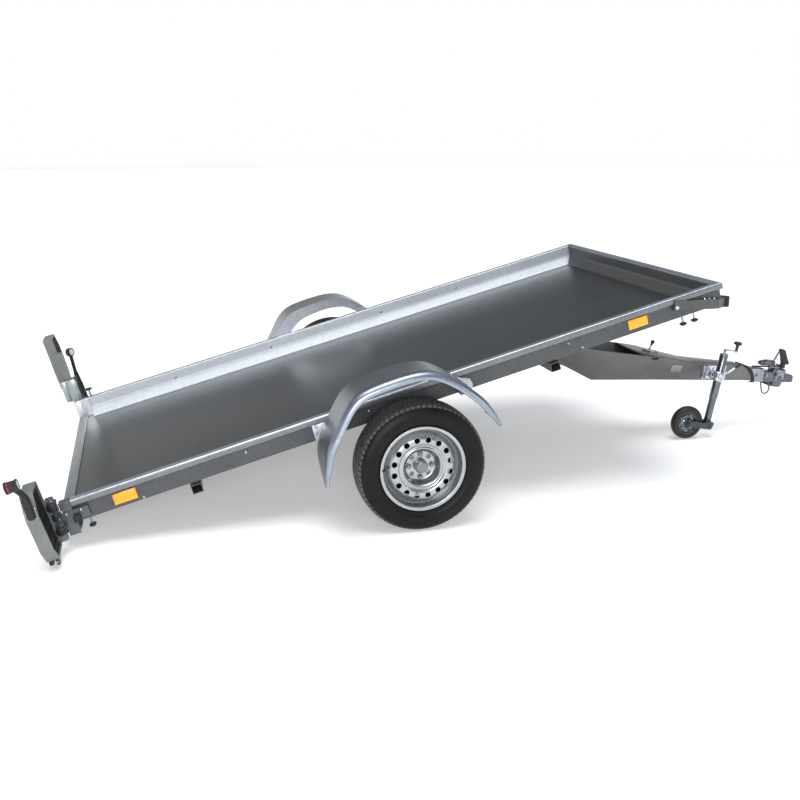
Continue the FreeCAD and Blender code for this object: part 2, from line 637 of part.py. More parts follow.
# ---------------------------------------------------------------- drawbar (d forward, e up from the hinge)
side_pts = [(-24.0, -12.0), (-8.0, -26.0), (20.0, -34.0), (276.0, -123.0), (443.0, -197.0), (1455.0, -197.0),
            (1446.0, -164.0), (1427.0, -136.0), (1392.0, -114.0), (1362.0, -106.5), (1037.0, -90.5), (807.0, -53.0),
            (535.0, -29.0), (300.0, -6.0), (30.0, 22.0), (-8.0, 22.0), (-24.0, 8.0)]
profile = pad("bar", "XZ", [side_pts], 500.0, sym=True)
h1, t = S["bar_hw"], S["bar_t"]

# Half widths at e = 30 and e = -210 along the bar: its top flares out to the
# hinge and its bottom stays narrow.
bar_rows = [(-30.0, 179.4, 70.7), (443.0, 198.7, 90.1), (760.0, 231.5, 62.9), (1000.0, 133.0, 53.7),
            (1200.0, 75.0, 46.5), (1470.0, h1, h1)]


def bar_loft(rows, grow, e_top, e_low):
    """A ruled solid through four-cornered sections across the bar."""
    sections = []
    for d, wide, low in rows:
        slope = (wide - low) / 240.0
        a, b = wide + slope * (e_top - 30.0) + grow, low + slope * (e_low + 210.0) + grow
        f = doc.addObject("Part::Polygon", name_of("section"))
        f.Nodes = [V(d, -a, e_top), V(d, a, e_top), V(d, b, e_low), V(d, -b, e_low)]
        f.Close = True
        sections.append(f)
    o = doc.addObject("Part::Loft", name_of("loft"))
    o.Sections, o.Solid, o.Ruled, o.Closed = sections, True, True, False
    return o


outer = common(profile, bar_loft(bar_rows, 0.0, 30.0, -210.0))
in_pts = [(-60.0, 60.0), (-60.0, -20.0), (-8.0, -22.0), (20.0, -30.5), (276.0, -119.5), (443.0, -193.5),
          (1480.0, -193.5), (1480.0, -150.0), (1443.0, -165.0), (1424.0, -138.5), (1390.5, -117.2), (1361.0, -109.7),
          (1037.0, -94.0), (807.0, -56.5), (700.0, -47.0), (700.0, 60.0)]
in_rows = [(-70.0, 179.4, 70.7)] + bar_rows[:-1] + [(1490.0, h1, h1)]
core = common(pad("bar_in", "XZ", [in_pts], 500.0, sym=True), bar_loft(in_rows, -3.3, 61.0, -200.0))
hinge_hole = cyl(10.2, 500.0, (0, -250.0, 0), (0, 1, 0))
# the coupling's shank leaves through an opening in the nose
nose_way = fuse(box(1380.0, 1500.0, -31.6, 31.6, -193.4, -127.4), box(1458.0, 1500.0, -33.6, 33.6, -205.6, -127.4))
node("drawbar_beam", cut(outer, core, hinge_hole, nose_way), BAR)
node("hinge_pin", fuse(cyl(10.0, 392.0, (0, -196.0, 0), (0, 1, 0)), cyl(16.0, 6.0, (0, -199.5, 0), (0, 1, 0)),
                       cyl(16.0, 6.0, (0, 193.5, 0), (0, 1, 0))), BAR)

# edge band round the bar's nose
band_out = [(1358.0, -101.5), (1396.0, -109.0), (1433.0, -131.5), (1453.0, -162.0), (1463.0, -196.0), (1458.0, -205.0),
            (1412.0, -205.0), (1436.0, -196.0), (1434.0, -168.0), (1417.0, -144.0), (1386.0, -124.0), (1356.0, -114.0)]
hollow = [(1300.0, -104.0), (1362.0, -105.8), (1392.3, -113.3), (1427.6, -135.4), (1446.8, -163.6), (1456.0, -197.8),
          (1300.0, -197.8)]
band = common(pad("band", "XZ", [band_out], 140.0, sym=True), bar_loft(bar_rows, 4.2, 30.0, -210.0))
inside = common(pad("band_in", "XZ", [hollow], 138.0, sym=True), bar_loft(bar_rows, 0.8, 31.0, -211.0))
band_way = fuse(box(1380.0, 1500.0, -31.8, 31.8, -193.6, -127.2), box(1455.0, 1500.0, -33.8, 33.8, -205.8, -127.2))
node("drawbar_collar", group(cut(band, inside, band_way)), BAR)

# latch lever on top of the bar
latch = fuse(box(770.0, 860.0, -14.0, 14.0, -49.0, -43.0), rod((806.0, 0, -46.0), (822.0, 0, -6.0), 6.0),
             ball(11.0, (824.0, 0, 0.0)))
node("latch_lever", latch, BAR)

# coupling: a shank in the bar's nose, a body and a cup over the ball
BALL = (1630.0, 0.0, -208.0)
shank = fuse(box(1385.0, 1530.0, -31.0, 31.0, -193.0, -128.0), box(1466.0, 1530.0, -33.0, 33.0, -205.0, -128.0))
body_pts = [(1505.0, -144.0), (1588.0, -142.0), (1606.0, -131.0), (1668.0, -129.0), (1682.0, -162.0), (1733.0, -163.0),
            (1735.0, -207.0), (1505.0, -207.0)]
cup = fuse(pad("head", "XZ", [body_pts], 60.0, sym=True), cyl(40.0, 74.0, (BALL[0], 0, -207.0)),
           cyl(38.0, 26.0, (BALL[0], 0, BALL[2] - 25.0)))
nose_trim = [pad("trim", "XY", [[(1684.0, s * 60.0), (1684.0, s * 28.0), (1700.0, s * 21.0), (1745.0, s * 21.0),
                                 (1745.0, s * 60.0)]], 90.0, offset=-230.0) for s in (1.0, -1.0)]
socket = fuse(cyl(S["ball_r"], 52.0, (BALL[0], 0, BALL[2] - 45.0)), ball(S["ball_r"], (BALL[0], 0, BALL[2] + 7.0)))
node("coupling_head", cut(fuse(shank, cup), socket, *nose_trim), BAR)

# release handle: pivot, rod, block, thin arm and grip
grip = pad("grip", "XZ", [[(1627.0, -23.0), (1657.0, -25.0), (1697.0, -105.0), (1655.0, -106.0)]], 26.0, sym=True)
handle = fuse(grip, box(1648.0, 1676.0, -10.0, 10.0, -128.6, -100.0), rod((1466.0, 0, -122.5), (1660.0, 0, -119.5), 4.5),
              pad("block", "XZ", [[(1507.0, -118.0), (1505.0, -95.0), (1523.0, -86.0), (1601.0, -84.0),
                                   (1603.0, -118.0)]], 40.0, sym=True),
              rod((1598.0, 0, -92.0), (1633.0, 0, -24.0), 5.0))
node("coupling_handle", handle, BAR)
# wire loop hanging under the shank
wire = [(1525.4, -208.6), (1543.0, -262.0), (1562.0, -273.0), (1580.0, -266.0), (1587.0, -241.0), (1577.0, -221.0),
        (1557.6, -208.6)]
pieces = []
for a, b in zip(wire, wire[1:]):
    pieces.append(rod((a[0], -18.0, a[1]), (b[0], -18.0, b[1]), 3.0))
pieces += [ball(3.0, (q[0], -18.0, q[1])) for q in wire[1:-1]]
node("safety_loop", fuse(*pieces), BAR)

# ---------------------------------------------------------------- jockey wheel (tube axes)
lean = Rotation(V(0, 1, 0), S["jockey_lean"])
JB = V(S["x_off"] + 1839.0, S["jockey_y"], 67.0)
TUBE = Placement(JB, lean)


def ring(r1, r0, h, z):
    return cut(cyl(r1, h, (0, 0, z)), cyl(r0, h + 2, (0, 0, z - 1)))


node("jockey_outer_tube", ring(22.0, 19.8, 238.0, 150.0), TUBE)
clamp = fuse(cut(box(-32.0, 32.0, -32.0, 36.0, 246.0, 296.0), cyl(22.0, 60.0, (0, 0, 241.0))),
             box(-26.0, 26.0, 34.0, 108.5, 253.0, 289.0))
# the clamp's block ends flat on the bar's leaning side
bar_side = bar_loft(bar_rows, 0.5, 30.0, -210.0)
bar_side.Placement = TUBE.inverse().multiply(BAR)
jclamp = cut(clamp, box(-2.0, 2.0, -40.0, -20.0, 241.0, 301.0), bar_side)
node("jockey_clamp", group(jclamp), TUBE)
lever_pts = [(0, -38.0, 283.0), (-4.0, -45.0, 297.0), (20.0, -46.0, 305.0), (84.0, -47.0, 360.0)]
node("jockey_clamp_lever", fuse(*([rod(a, b, 5.0) for a, b in zip(lever_pts, lever_pts[1:])] +
                                  [ball(5.0, q) for q in lever_pts[1:3]] + [ball(8.0, lever_pts[3])])), TUBE)
crank = fuse(cyl(23.0, 8.0, (0, 0, 388.6)), cyl(7.0, 24.0, (0, 0, 394.0)), box(-8.0, 76.0, -8.0, 8.0, 414.0, 421.0),
             cyl(8.0, 32.0, (67.0, 0, 421.0)), cyl(22.0, 20.0, (67.0, 0, 450.0)))
node("jockey_crank", crank, TUBE)
node("jockey_inner_tube", ring(19.2, 16.4, 262.0, 27.0), TUBE)

# fork: trails rearwards from the tube
JW = V(S["x_off"] + 1718.0, S["jockey_y"], S["jockey_r"])
FORK = Placement(JB, lean)
inv = FORK.inverse()
c = inv.multVec(JW)
neck = fuse(cyl(21.4, 6.5, (0, 0, 19.5)), cyl(10.0, 30.0, (0, 0, 24.0)))
cheeks = []
for y0 in (-38.0, 33.0):
    cheeks.append(pad("cheek", "XZ", [[(c.x - 15.0, c.z - 12.0), (c.x - 2.0, c.z - 17.0), (9.0, -18.0), (16.0, -7.0),
                                       (22.5, 21.0), (-22.0, 21.0), (c.x + 4.0, c.z + 17.0), (c.x - 15.0, c.z + 10.0)]],
                      5.0, offset=-(y0 + 5.0)))
top = box(-22.0, 22.5, -38.0, 38.0, 15.0, 21.0)
axle_pin = cyl(6.0, 88.0, (c.x, -44.0, c.z), (0, 1, 0))
node("jockey_fork", fuse(neck, top, cheeks[0], cheeks[1], axle_pin), FORK)
jw_sec = [(-25.0, 60.0), (-25.0, 78.0), (-18.0, 86.0), (-8.0, "jockey_r"), (8.0, "jockey_r"), (18.0, 86.0),
          (25.0, 78.0), (25.0, 60.0)]
jrim = [(-25.0, 8.0), (-25.0, 18.0), (-6.0, 22.0), (-6.0, 50.0), (-18.0, 59.5), (18.0, 59.5), (6.0, 50.0),
        (6.0, 22.0), (25.0, 18.0), (25.0, 8.0)]
JWP = Placement(JW, Rotation())
node("jockey_tyre", revolve("jtyre", "YZ", [jw_sec], "H_Axis"), JWP)
node("jockey_rim", revolve("jrim", "YZ", [jrim], "H_Axis"), JWP)

doc.recompute()
bad = [o.Name for o in doc.Objects if "Invalid" in o.State or "Error" in o.State]
if bad:
    print("BAD", bad)
for o in NODES:
    s = o.Shape
    if s.isNull() or not s.isValid() or not s.Solids:
        raise SystemExit("bad shape: %s null=%s valid=%s solids=%d" % (o.Label, s.isNull(), (not s.isNull()) and s.isValid(), len(s.Solids)))
if bad:
    raise SystemExit("features failed")
allbox = None
for o in NODES:
    o.Shape.exportStep("parts/%s.step" % o.Label)
    bb = o.Shape.BoundBox
    allbox = FreeCAD.BoundBox(bb) if allbox is None else allbox
    allbox.add(bb)
    print("%-26s solids %2d vol %9.0f  x %7.1f %7.1f y %7.1f %7.1f z %7.1f %7.1f" % (
        o.Label, len(o.Shape.Solids), o.Shape.Volume, bb.XMin, bb.XMax, bb.YMin, bb.YMax, bb.ZMin, bb.ZMax))
print("BOX", allbox)
print("HINGE", HINGE, "nodes", len(NODES), "volume m3", sum(o.Shape.Volume for o in NODES) / 1e9)
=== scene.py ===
import math
import random

import bmesh
import bpy
from mathutils import Matrix, Vector


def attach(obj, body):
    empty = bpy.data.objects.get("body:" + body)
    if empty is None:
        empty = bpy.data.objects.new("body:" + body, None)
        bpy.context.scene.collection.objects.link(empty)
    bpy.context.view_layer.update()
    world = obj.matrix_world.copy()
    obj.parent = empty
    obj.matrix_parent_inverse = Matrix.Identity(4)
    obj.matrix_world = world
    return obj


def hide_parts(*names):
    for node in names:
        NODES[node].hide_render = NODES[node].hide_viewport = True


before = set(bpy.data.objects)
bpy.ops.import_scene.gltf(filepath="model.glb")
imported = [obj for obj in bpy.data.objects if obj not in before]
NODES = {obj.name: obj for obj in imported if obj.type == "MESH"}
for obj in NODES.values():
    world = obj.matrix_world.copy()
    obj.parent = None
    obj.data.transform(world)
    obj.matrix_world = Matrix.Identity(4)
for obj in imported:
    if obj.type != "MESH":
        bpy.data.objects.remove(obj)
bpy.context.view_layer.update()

scene = bpy.context.scene

# ------------------------------------------------------------------ frames
# Sizes in metres. Bed axes: u forward, v left, w up from the axle centre.
X_OFF, WHEEL_R, TILT = -0.43082, 0.2735, math.radians(14.83)
PITCH, LEAN = math.radians(4.8), math.radians(10.5)


def axes(at, turn):
    return Matrix.Translation(at) @ Matrix.Rotation(turn, 4, "Y")


WORLD = Matrix.Identity(4)
BED = axes((X_OFF, 0, WHEEL_R), -TILT)
WHEEL = axes((X_OFF, 0, WHEEL_R), 0.0)
HINGE = BED @ Vector((0.8, 0, 0.104))
BAR = axes(HINGE, PITCH)
FOOT = Vector((X_OFF + 1.839, -0.150, 0.067))
TUBE = axes(FOOT, LEAN)
JOCKEY = axes((X_OFF + 1.718, -0.150, 0.090), 0.0)

# ------------------------------------------------------------------ camera
cam = bpy.data.cameras.new("camera")
cam.sensor_width, cam.lens = 36.0, 42.72
cam.clip_start, cam.clip_end = 0.05, 200.0
cam_obj = bpy.data.objects.new("camera", cam)
scene.collection.objects.link(cam_obj)
fwd = Vector((0.24802, 0.92972, -0.27222)).normalized()
up = Vector((0.0702, 0.2630, 0.9622))
right = fwd.cross(up).normalized()
up = right.cross(fwd).normalized()
cam_obj.matrix_world = Matrix.Translation((-1.0304 + X_OFF, -4.4716, 1.5953)) @ Matrix(
    (right, up, -fwd)).transposed().to_4x4()
scene.camera = cam_obj

# ------------------------------------------------------------------ light
scene.view_settings.view_transform = "Standard"
scene.view_settings.look = "None"
scene.view_settings.exposure = 0.0

world = bpy.data.worlds.new("studio")
scene.world = world
world.use_nodes = True
wt = world.node_tree
wt.nodes.clear()
w_out = wt.nodes.new("ShaderNodeOutputWorld")
w_bg = wt.nodes.new("ShaderNodeBackground")
w_co = wt.nodes.new("ShaderNodeTexCoord")
w_sep = wt.nodes.new("ShaderNodeSeparateXYZ")
w_ramp = wt.nodes.new("ShaderNodeValToRGB")
w_map = wt.nodes.new("ShaderNodeMapRange")
w_map.inputs["From Min"].default_value = -1.0
w_map.inputs["From Max"].default_value = 1.0
wt.links.new(w_co.outputs["Generated"], w_sep.inputs[0])
wt.links.new(w_sep.outputs["Z"], w_map.inputs["Value"])
wt.links.new(w_map.outputs[0], w_ramp.inputs[0])
wt.links.new(w_ramp.outputs[0], w_bg.inputs[0])
wt.links.new(w_bg.outputs[0], w_out.inputs[0])
stops = [(0.0, (0.30, 0.30, 0.31)), (0.47, (0.70, 0.70, 0.71)), (0.485, (1.0, 1.0, 1.0)), (0.575, (1.0, 1.0, 1.0)),
         (0.635, (0.11, 0.118, 0.13)), (0.74, (0.10, 0.11, 0.125)), (0.87, (0.42, 0.46, 0.52)), (1.0, (0.60, 0.65, 0.72))]
for k, (at, col) in enumerate(stops):
    e = w_ramp.color_ramp.elements[k] if k < 2 else w_ramp.color_ramp.elements.new(at)
    e.position = at
    e.color = col + (1.0,)
w_bg.inputs[1].default_value = 1.0


def area(name, at, to, size, power, col=(1, 1, 1), size_y=None):
    li = bpy.data.lights.new(name, "AREA")
    li.energy, li.color, li.size = power, col, size
    if size_y:
        li.shape, li.size_y = "RECTANGLE", size_y
    ob = bpy.data.objects.new(name, li)
    scene.collection.objects.link(ob)
    ob.location = at
    ob.rotation_mode = "QUATERNION"
    ob.rotation_quaternion = (Vector(to) - Vector(at)).to_track_quat("-Z", "Y")
    return ob


sky = bpy.data.lights.new("sky", "SUN")
sky.energy, sky.angle, sky.color = 2.2, math.radians(40), (1.0, 0.995, 0.985)
sky_obj = bpy.data.objects.new("sky", sky)
scene.collection.objects.link(sky_obj)
sky_obj.rotation_euler = (math.radians(6), math.radians(-5), 0)
area("side", (-2.2, -8.2, 2.6), (-0.6, 0.0, 0.4), 3.6, 330.0, (1.0, 0.995, 0.985), 2.6)
area("nose", (4.8, -4.4, 2.2), (0.9, 0.0, 0.4), 2.0, 40.0, (0.90, 0.96, 1.0))


# ------------------------------------------------------------------ materials
def nodes_of(name):
    m = bpy.data.materials.new(name)
    m.use_nodes = True
    t = m.node_tree
    b = t.nodes["Principled BSDF"]
    return m, t, b


def coords(t, scale=(1, 1, 1)):
    c = t.nodes.new("ShaderNodeTexCoord")
    mp = t.nodes.new("ShaderNodeMapping")
    mp.inputs["Scale"].default_value = scale
    t.links.new(c.outputs["Object"], mp.inputs["Vector"])
    return mp.outputs[0]


def noise(t, vec, scale, detail=4.0, rough=0.55):
    n = t.nodes.new("ShaderNodeTexNoise")
    n.inputs["Scale"].default_value = scale
    n.inputs["Detail"].default_value = detail
    n.inputs["Roughness"].default_value = rough
    t.links.new(vec, n.inputs["Vector"])
    return n.outputs["Fac"]


def voronoi(t, vec, scale, feature="F1", out="Color"):
    n = t.nodes.new("ShaderNodeTexVoronoi")
    n.feature = feature
    n.inputs["Scale"].default_value = scale
    t.links.new(vec, n.inputs["Vector"])
    return n.outputs[out]


def ranged(t, value, a, b, lo=0.0, hi=1.0):
    n = t.nodes.new("ShaderNodeMapRange")
    n.inputs["From Min"].default_value = a
    n.inputs["From Max"].default_value = b
    n.inputs["To Min"].default_value = lo
    n.inputs["To Max"].default_value = hi
    t.links.new(value, n.inputs["Value"])
    return n.outputs[0]


def mix(t, fac, a, b, kind="MIX"):
    n = t.nodes.new("ShaderNodeMix")
    n.data_type = "RGBA"
    n.blend_type = kind
    for sock, x in ((n.inputs[0], fac), (n.inputs[6], a), (n.inputs[7], b)):
        if isinstance(x, bpy.types.NodeSocket):
            t.links.new(x, sock)
        elif isinstance(x, (int, float)):
            sock.default_value = x
        else:
            sock.default_value = tuple(x) + (1.0,)
    return n.outputs[2]


def maths(t, op, a, b=None):
    n = t.nodes.new("ShaderNodeMath")
    n.operation = op
    for sock, x in ((n.inputs[0], a), (n.inputs[1], b)):
        if x is None:
            continue
        if isinstance(x, bpy.types.NodeSocket):
            t.links.new(x, sock)
        else:
            sock.default_value = x
    return n.outputs[0]


def bump(t, b, height, strength, dist=0.001, prior=None):
    n = t.nodes.new("ShaderNodeBump")
    n.inputs["Strength"].default_value = strength
    n.inputs["Distance"].default_value = dist
    t.links.new(height, n.inputs["Height"])
    if prior is not None:
        t.links.new(prior, n.inputs["Normal"])
    t.links.new(n.outputs[0], b.inputs["Normal"])
    return n.outputs[0]


def galvanised(name, low, high, rough=(0.26, 0.40), spangle=70.0, metallic=1.0, strength=0.10):
    """Hot-dip zinc: pale crystals and cloudy patches."""
    m, t, b = nodes_of(name)
    vec = coords(t)
    cells = voronoi(t, vec, spangle)
    bw = t.nodes.new("ShaderNodeRGBToBW")
    t.links.new(cells, bw.inputs[0])
    cloud = noise(t, vec, 5.0, 5.0)
    fine = noise(t, vec, 160.0, 3.0)
    blend = maths(t, "ADD", maths(t, "MULTIPLY", bw.outputs[0], 0.35),
                  maths(t, "ADD", maths(t, "MULTIPLY", cloud, 0.75), maths(t, "MULTIPLY", fine, 0.12)))
    fac = ranged(t, blend, 0.35, 0.85)
    t.links.new(mix(t, fac, low, high), b.inputs["Base Color"])
    t.links.new(ranged(t, maths(t, "ADD", cloud, maths(t, "MULTIPLY", fine, 0.4)), 0.4, 1.0, *rough), b.inputs["Roughness"])
    b.inputs["Metallic"].default_value = metallic
    n1 = bump(t, b, cloud, strength * 0.5, 0.004)
    bump(t, b, maths(t, "ADD", bw.outputs[0], fine), strength, 0.0003, n1)
    return m


def guide_zinc(name, shaded_lo, shaded_hi, lit_lo, lit_hi):
    """Zinc lit and shaded by paint: painted light makes it pale on the trailer's left, painted shade makes it duller
    and bluer on its right.
    """
    m, t, b = nodes_of(name)
    vec = coords(t)
    sep = t.nodes.new("ShaderNodeSeparateXYZ")
    t.links.new(vec, sep.inputs[0])
    # mask: painted shade where y is below zero (the trailer's right), painted light where it is above (its left)
    side = ranged(t, sep.outputs["Y"], -0.1, 0.1)
    cloud = noise(t, vec, 9.0, 4.0)
    fac = ranged(t, cloud, 0.3, 0.7)
    near = mix(t, fac, shaded_lo, shaded_hi)
    far = mix(t, fac, lit_lo, lit_hi)
    t.links.new(mix(t, side, near, far), b.inputs["Base Color"])
    t.links.new(ranged(t, cloud, 0.3, 0.7, 0.26, 0.36), b.inputs["Roughness"])
    b.inputs["Metallic"].default_value = 0.7
    bump(t, b, noise(t, vec, 120.0, 2.0), 0.03, 0.0004)
    return m


def smooth_coat(name, base, dark, rough, metallic=0.0, scale=35.0, bumped=0.05, coat=0.0, spec=0.5):
    """A moulded, painted or plated surface with slight unevenness."""
    m, t, b = nodes_of(name)
    vec = coords(t)
    n = noise(t, vec, scale, 4.0)
    fine = noise(t, vec, scale * 14.0, 2.0)
    t.links.new(mix(t, ranged(t, n, 0.3, 0.7), dark, base), b.inputs["Base Color"])
    t.links.new(ranged(t, maths(t, "ADD", n, maths(t, "MULTIPLY", fine, 0.5)), 0.4, 1.1, rough[0], rough[1]),
                b.inputs["Roughness"])
    b.inputs["Metallic"].default_value = metallic
    b.inputs["Coat Weight"].default_value = coat
    b.inputs["Coat Roughness"].default_value = 0.2
    b.inputs["Specular IOR Level"].default_value = spec
    bump(t, b, fine, bumped, 0.0004)
    return m


def lens(name, base, deep, cell=260.0):
    """A moulded reflex lens: small prisms behind a clear skin."""
    m, t, b = nodes_of(name)
    vec = coords(t)
    v = voronoi(t, vec, cell, "F1", "Distance")
    t.links.new(mix(t, ranged(t, v, 0.1, 0.6), base, deep), b.inputs["Base Color"])
    n = noise(t, vec, 40.0, 2.0)
    t.links.new(ranged(t, n, 0.3, 0.7, 0.12, 0.24), b.inputs["Roughness"])
    b.inputs["Coat Weight"].default_value = 0.6
    b.inputs["Coat Roughness"].default_value = 0.05
    bump(t, b, v, 0.25, 0.0012)
    return m


def film_floor(name):
    """Dark phenolic film on plywood, glossy, with faint bumps and scuffs."""
    m, t, b = nodes_of(name)
    vec = coords(t)
    cloud = noise(t, vec, 2.2, 5.0)
    streak = noise(t, coords(t, (4.0, 60.0, 60.0)), 1.0, 6.0)
    col = mix(t, ranged(t, cloud, 0.3, 0.7), (0.007, 0.0076, 0.0072), (0.012, 0.0128, 0.012))
    col = mix(t, ranged(t, streak, 0.40, 0.75, 0.0, 0.12), col, (0.016, 0.017, 0.016))
    t.links.new(col, b.inputs["Base Color"])
    t.links.new(ranged(t, maths(t, "ADD", cloud, maths(t, "MULTIPLY", streak, 0.2)), 0.4, 0.9, 0.30, 0.36),
                b.inputs["Roughness"])
    b.inputs["IOR"].default_value = 1.9
    b.inputs["Specular IOR Level"].default_value = 0.8
    b.inputs["Coat Weight"].default_value = 0.3
    b.inputs["Coat Roughness"].default_value = 0.26
    bump(t, b, noise(t, vec, 45.0, 1.0), 0.012, 0.0004)
    return m


MAT = {
    "galv": galvanised("galvanised", (0.36, 0.385, 0.42), (0.50, 0.53, 0.58), (0.24, 0.36), 70.0, 0.85, 0.03),
    # painted shade: a darker copy of the galvanising for the outer face of the rails' lip
    "galv_lip": galvanised("galvanised_lip_painted_shade", (0.15, 0.158, 0.172), (0.20, 0.21, 0.228), (0.24, 0.34), 70.0, 0.7, 0.03),
    # painted light: a paler, more diffuse copy of the galvanising for the side rails' inner walls
    "galv_inside": galvanised("galvanised_inside_painted_light", (0.46, 0.49, 0.53), (0.56, 0.59, 0.64), (0.50, 0.58), 70.0, 0.55, 0.02),
    # painted shade: a darker copy of the galvanising for the front rail's inner wall, which faces away from the lights
    "galv_front": galvanised("galvanised_front_painted_shade", (0.085, 0.088, 0.09), (0.115, 0.118, 0.122), (0.36, 0.48), 70.0, 0.6, 0.03),
    "galv_guard": galvanised("galvanised_guard", (0.20, 0.212, 0.225), (0.245, 0.26, 0.275), (0.27, 0.32), 60.0, 0.85, 0.004),
    # painted shade: a near-black copy of the galvanising for the guards' undersides and the right guide's clamp plate
    "galv_under": galvanised("galvanised_under_painted_shade", (0.030, 0.033, 0.036), (0.050, 0.054, 0.058), (0.30, 0.42), 60.0, 0.6, 0.01),
    # painted reflection: a paler, bluer copy of the galvanising for the guards' outer shoulder and edge
    "galv_rim": galvanised("galvanised_guard_edge_painted_reflection", (0.24, 0.275, 0.335), (0.31, 0.35, 0.41), (0.28, 0.34), 60.0, 0.85, 0.004),
    "galv_sill": galvanised("galvanised_sill", (0.24, 0.25, 0.255), (0.34, 0.35, 0.36), (0.30, 0.42), 60.0, 0.5, 0.03),
    "galv_post": galvanised("galvanised_post", (0.30, 0.315, 0.335), (0.42, 0.435, 0.46), (0.28, 0.38), 60.0, 0.6, 0.03),
    # painted light on the trailer's left and painted shade on its right, for the lamp guides and the rear corners
    "galv_guide": guide_zinc("galvanised_guide_painted_light_and_shade", (0.075, 0.082, 0.098), (0.12, 0.13, 0.15), (0.26, 0.29, 0.30), (0.36, 0.39, 0.40)),
    "galv_corner": guide_zinc("galvanised_corner_painted_light_and_shade", (0.10, 0.105, 0.115), (0.15, 0.157, 0.17), (0.50, 0.52, 0.55), (0.62, 0.64, 0.67)),
    # painted shade: a darker copy of the galvanising for the frame, axle and brackets under the bed
    "galv_dark": galvanised("galvanised_dark", (0.10, 0.10, 0.098), (0.15, 0.15, 0.147), (0.34, 0.46), 50.0, 0.6, 0.03),
    # painted shade: a darker copy of the galvanising for the drawbar
    "galv_bar": galvanised("galvanised_bar_painted_shade", (0.125, 0.127, 0.129), (0.155, 0.157, 0.158), (0.32, 0.42), 50.0, 0.6, 0.02),
    # painted shade: a darker copy of the galvanising for the front arms below the bed's lip
    "galv_arm": galvanised("galvanised_arm_painted_shade", (0.072, 0.072, 0.074), (0.098, 0.098, 0.10), (0.30, 0.42), 50.0, 0.5, 0.02),
    # painted shade: a darker copy of the galvanising for the rails' skirts under the lip
    "galv_skirt": galvanised("galvanised_skirt_painted_shade", (0.064, 0.067, 0.071), (0.086, 0.090, 0.095), (0.34, 0.46), 60.0, 0.5, 0.03),
    "zinc": smooth_coat("zinc_plate", (0.34, 0.36, 0.40), (0.20, 0.22, 0.26), (0.18, 0.32), 0.9, 30.0, 0.03),
    # bright plating and painted highlight: a lighter copy of zinc standing in for the clamp's glints
    "zinc_bright_painted_highlight": smooth_coat("zinc_bright_painted_highlight", (0.56, 0.64, 0.70), (0.34, 0.42, 0.50), (0.22, 0.34), 0.85, 34.0, 0.03),
    "zinc_tube": smooth_coat("zinc_tube", (0.17, 0.19, 0.20), (0.12, 0.135, 0.145), (0.16, 0.26), 0.95, 22.0, 0.02),
    "zinc_dark": smooth_coat("zinc_dark", (0.085, 0.095, 0.095), (0.05, 0.058, 0.058), (0.26, 0.38), 0.85, 26.0, 0.03),
    # bright plating and painted highlight: a lighter copy of zinc standing in for the clamp's glints
    "zinc_bright_painted_highlight": smooth_coat("zinc_bright_painted_highlight", (0.62, 0.65, 0.71), (0.52, 0.55, 0.60), (0.14, 0.24), 0.95, 22.0, 0.02),
    "zinc_worn": smooth_coat("zinc_worn", (0.17, 0.172, 0.20), (0.09, 0.092, 0.115), (0.18, 0.32), 0.9, 24.0, 0.05),
    "silver": smooth_coat("wheel_silver", (0.42, 0.43, 0.44), (0.36, 0.37, 0.38), (0.22, 0.28), 0.92, 10.0, 0.004),
    "hub": smooth_coat("hub_grey", (0.24, 0.25, 0.26), (0.17, 0.18, 0.19), (0.30, 0.40), 0.8, 30.0, 0.02),
    "rubber": smooth_coat("rubber", (0.018, 0.018, 0.019), (0.010, 0.010, 0.010), (0.42, 0.62), 0.0, 60.0, 0.15, 0.0, 0.35),
    "tyre": smooth_coat("tyre_rubber", (0.007, 0.0072, 0.0075), (0.004, 0.004, 0.0042), (0.36, 0.46), 0.0, 26.0, 0.05, 0.0, 0.16),
    "tread": smooth_coat("tyre_tread", (0.085, 0.087, 0.083), (0.060, 0.061, 0.058), (0.50, 0.62), 0.0, 30.0, 0.05, 0.0, 0.40),
    "plastic": smooth_coat("black_plastic", (0.016, 0.016, 0.018), (0.010, 0.010, 0.011), (0.30, 0.45), 0.0, 80.0, 0.12,
                           0.0, 0.4),
    "tray": smooth_coat("lamp_tray", (0.185, 0.195, 0.19), (0.15, 0.16, 0.155), (0.40, 0.52), 0.2, 18.0, 0.08),
    "plate": smooth_coat("blank_plate", (0.30, 0.30, 0.30), (0.24, 0.24, 0.24), (0.30, 0.42), 0.6, 50.0, 0.05),
    "amber": lens("amber_lens", (0.98, 0.50, 0.0), (0.80, 0.34, 0.0)),
    "red": lens("red_lens", (0.62, 0.012, 0.012), (0.36, 0.004, 0.006)),
    "clear": lens("clear_lens", (0.86, 0.88, 0.90), (0.62, 0.65, 0.68)),
    "floor": film_floor("plywood_film"),
    # painted shade: near-black for the wheels' insides, the latch slot, the coupling's bore and the lamp trays
    "dark": smooth_coat("painted_shade_black", (0.012, 0.012, 0.012), (0.006, 0.006, 0.006), (0.6, 0.8), 0.0, 35.0, 0.05, 0.0, 0.15),
}

# ------------------------------------------------------------------ floor of the studio
me = bpy.data.meshes.new("studio_floor")
me.from_pydata([(-40, -40, 0), (40, -40, 0), (40, 40, 0), (-40, 40, 0)], [], [(0, 1, 2, 3)])
floor_obj = bpy.data.objects.new("studio_floor", me)
scene.collection.objects.link(floor_obj)
m, t, b = nodes_of("studio_floor")
t.links.new(mix(t, noise(t, coords(t), 0.4, 3.0), (0.86, 0.86, 0.86), (0.90, 0.90, 0.90)), b.inputs["Base Color"])
b.inputs["Roughness"].default_value = 0.8
b.inputs["Emission Color"].default_value = (1.0, 1.0, 1.0, 1.0)
b.inputs["Emission Strength"].default_value = 0.28
me.materials.append(m)

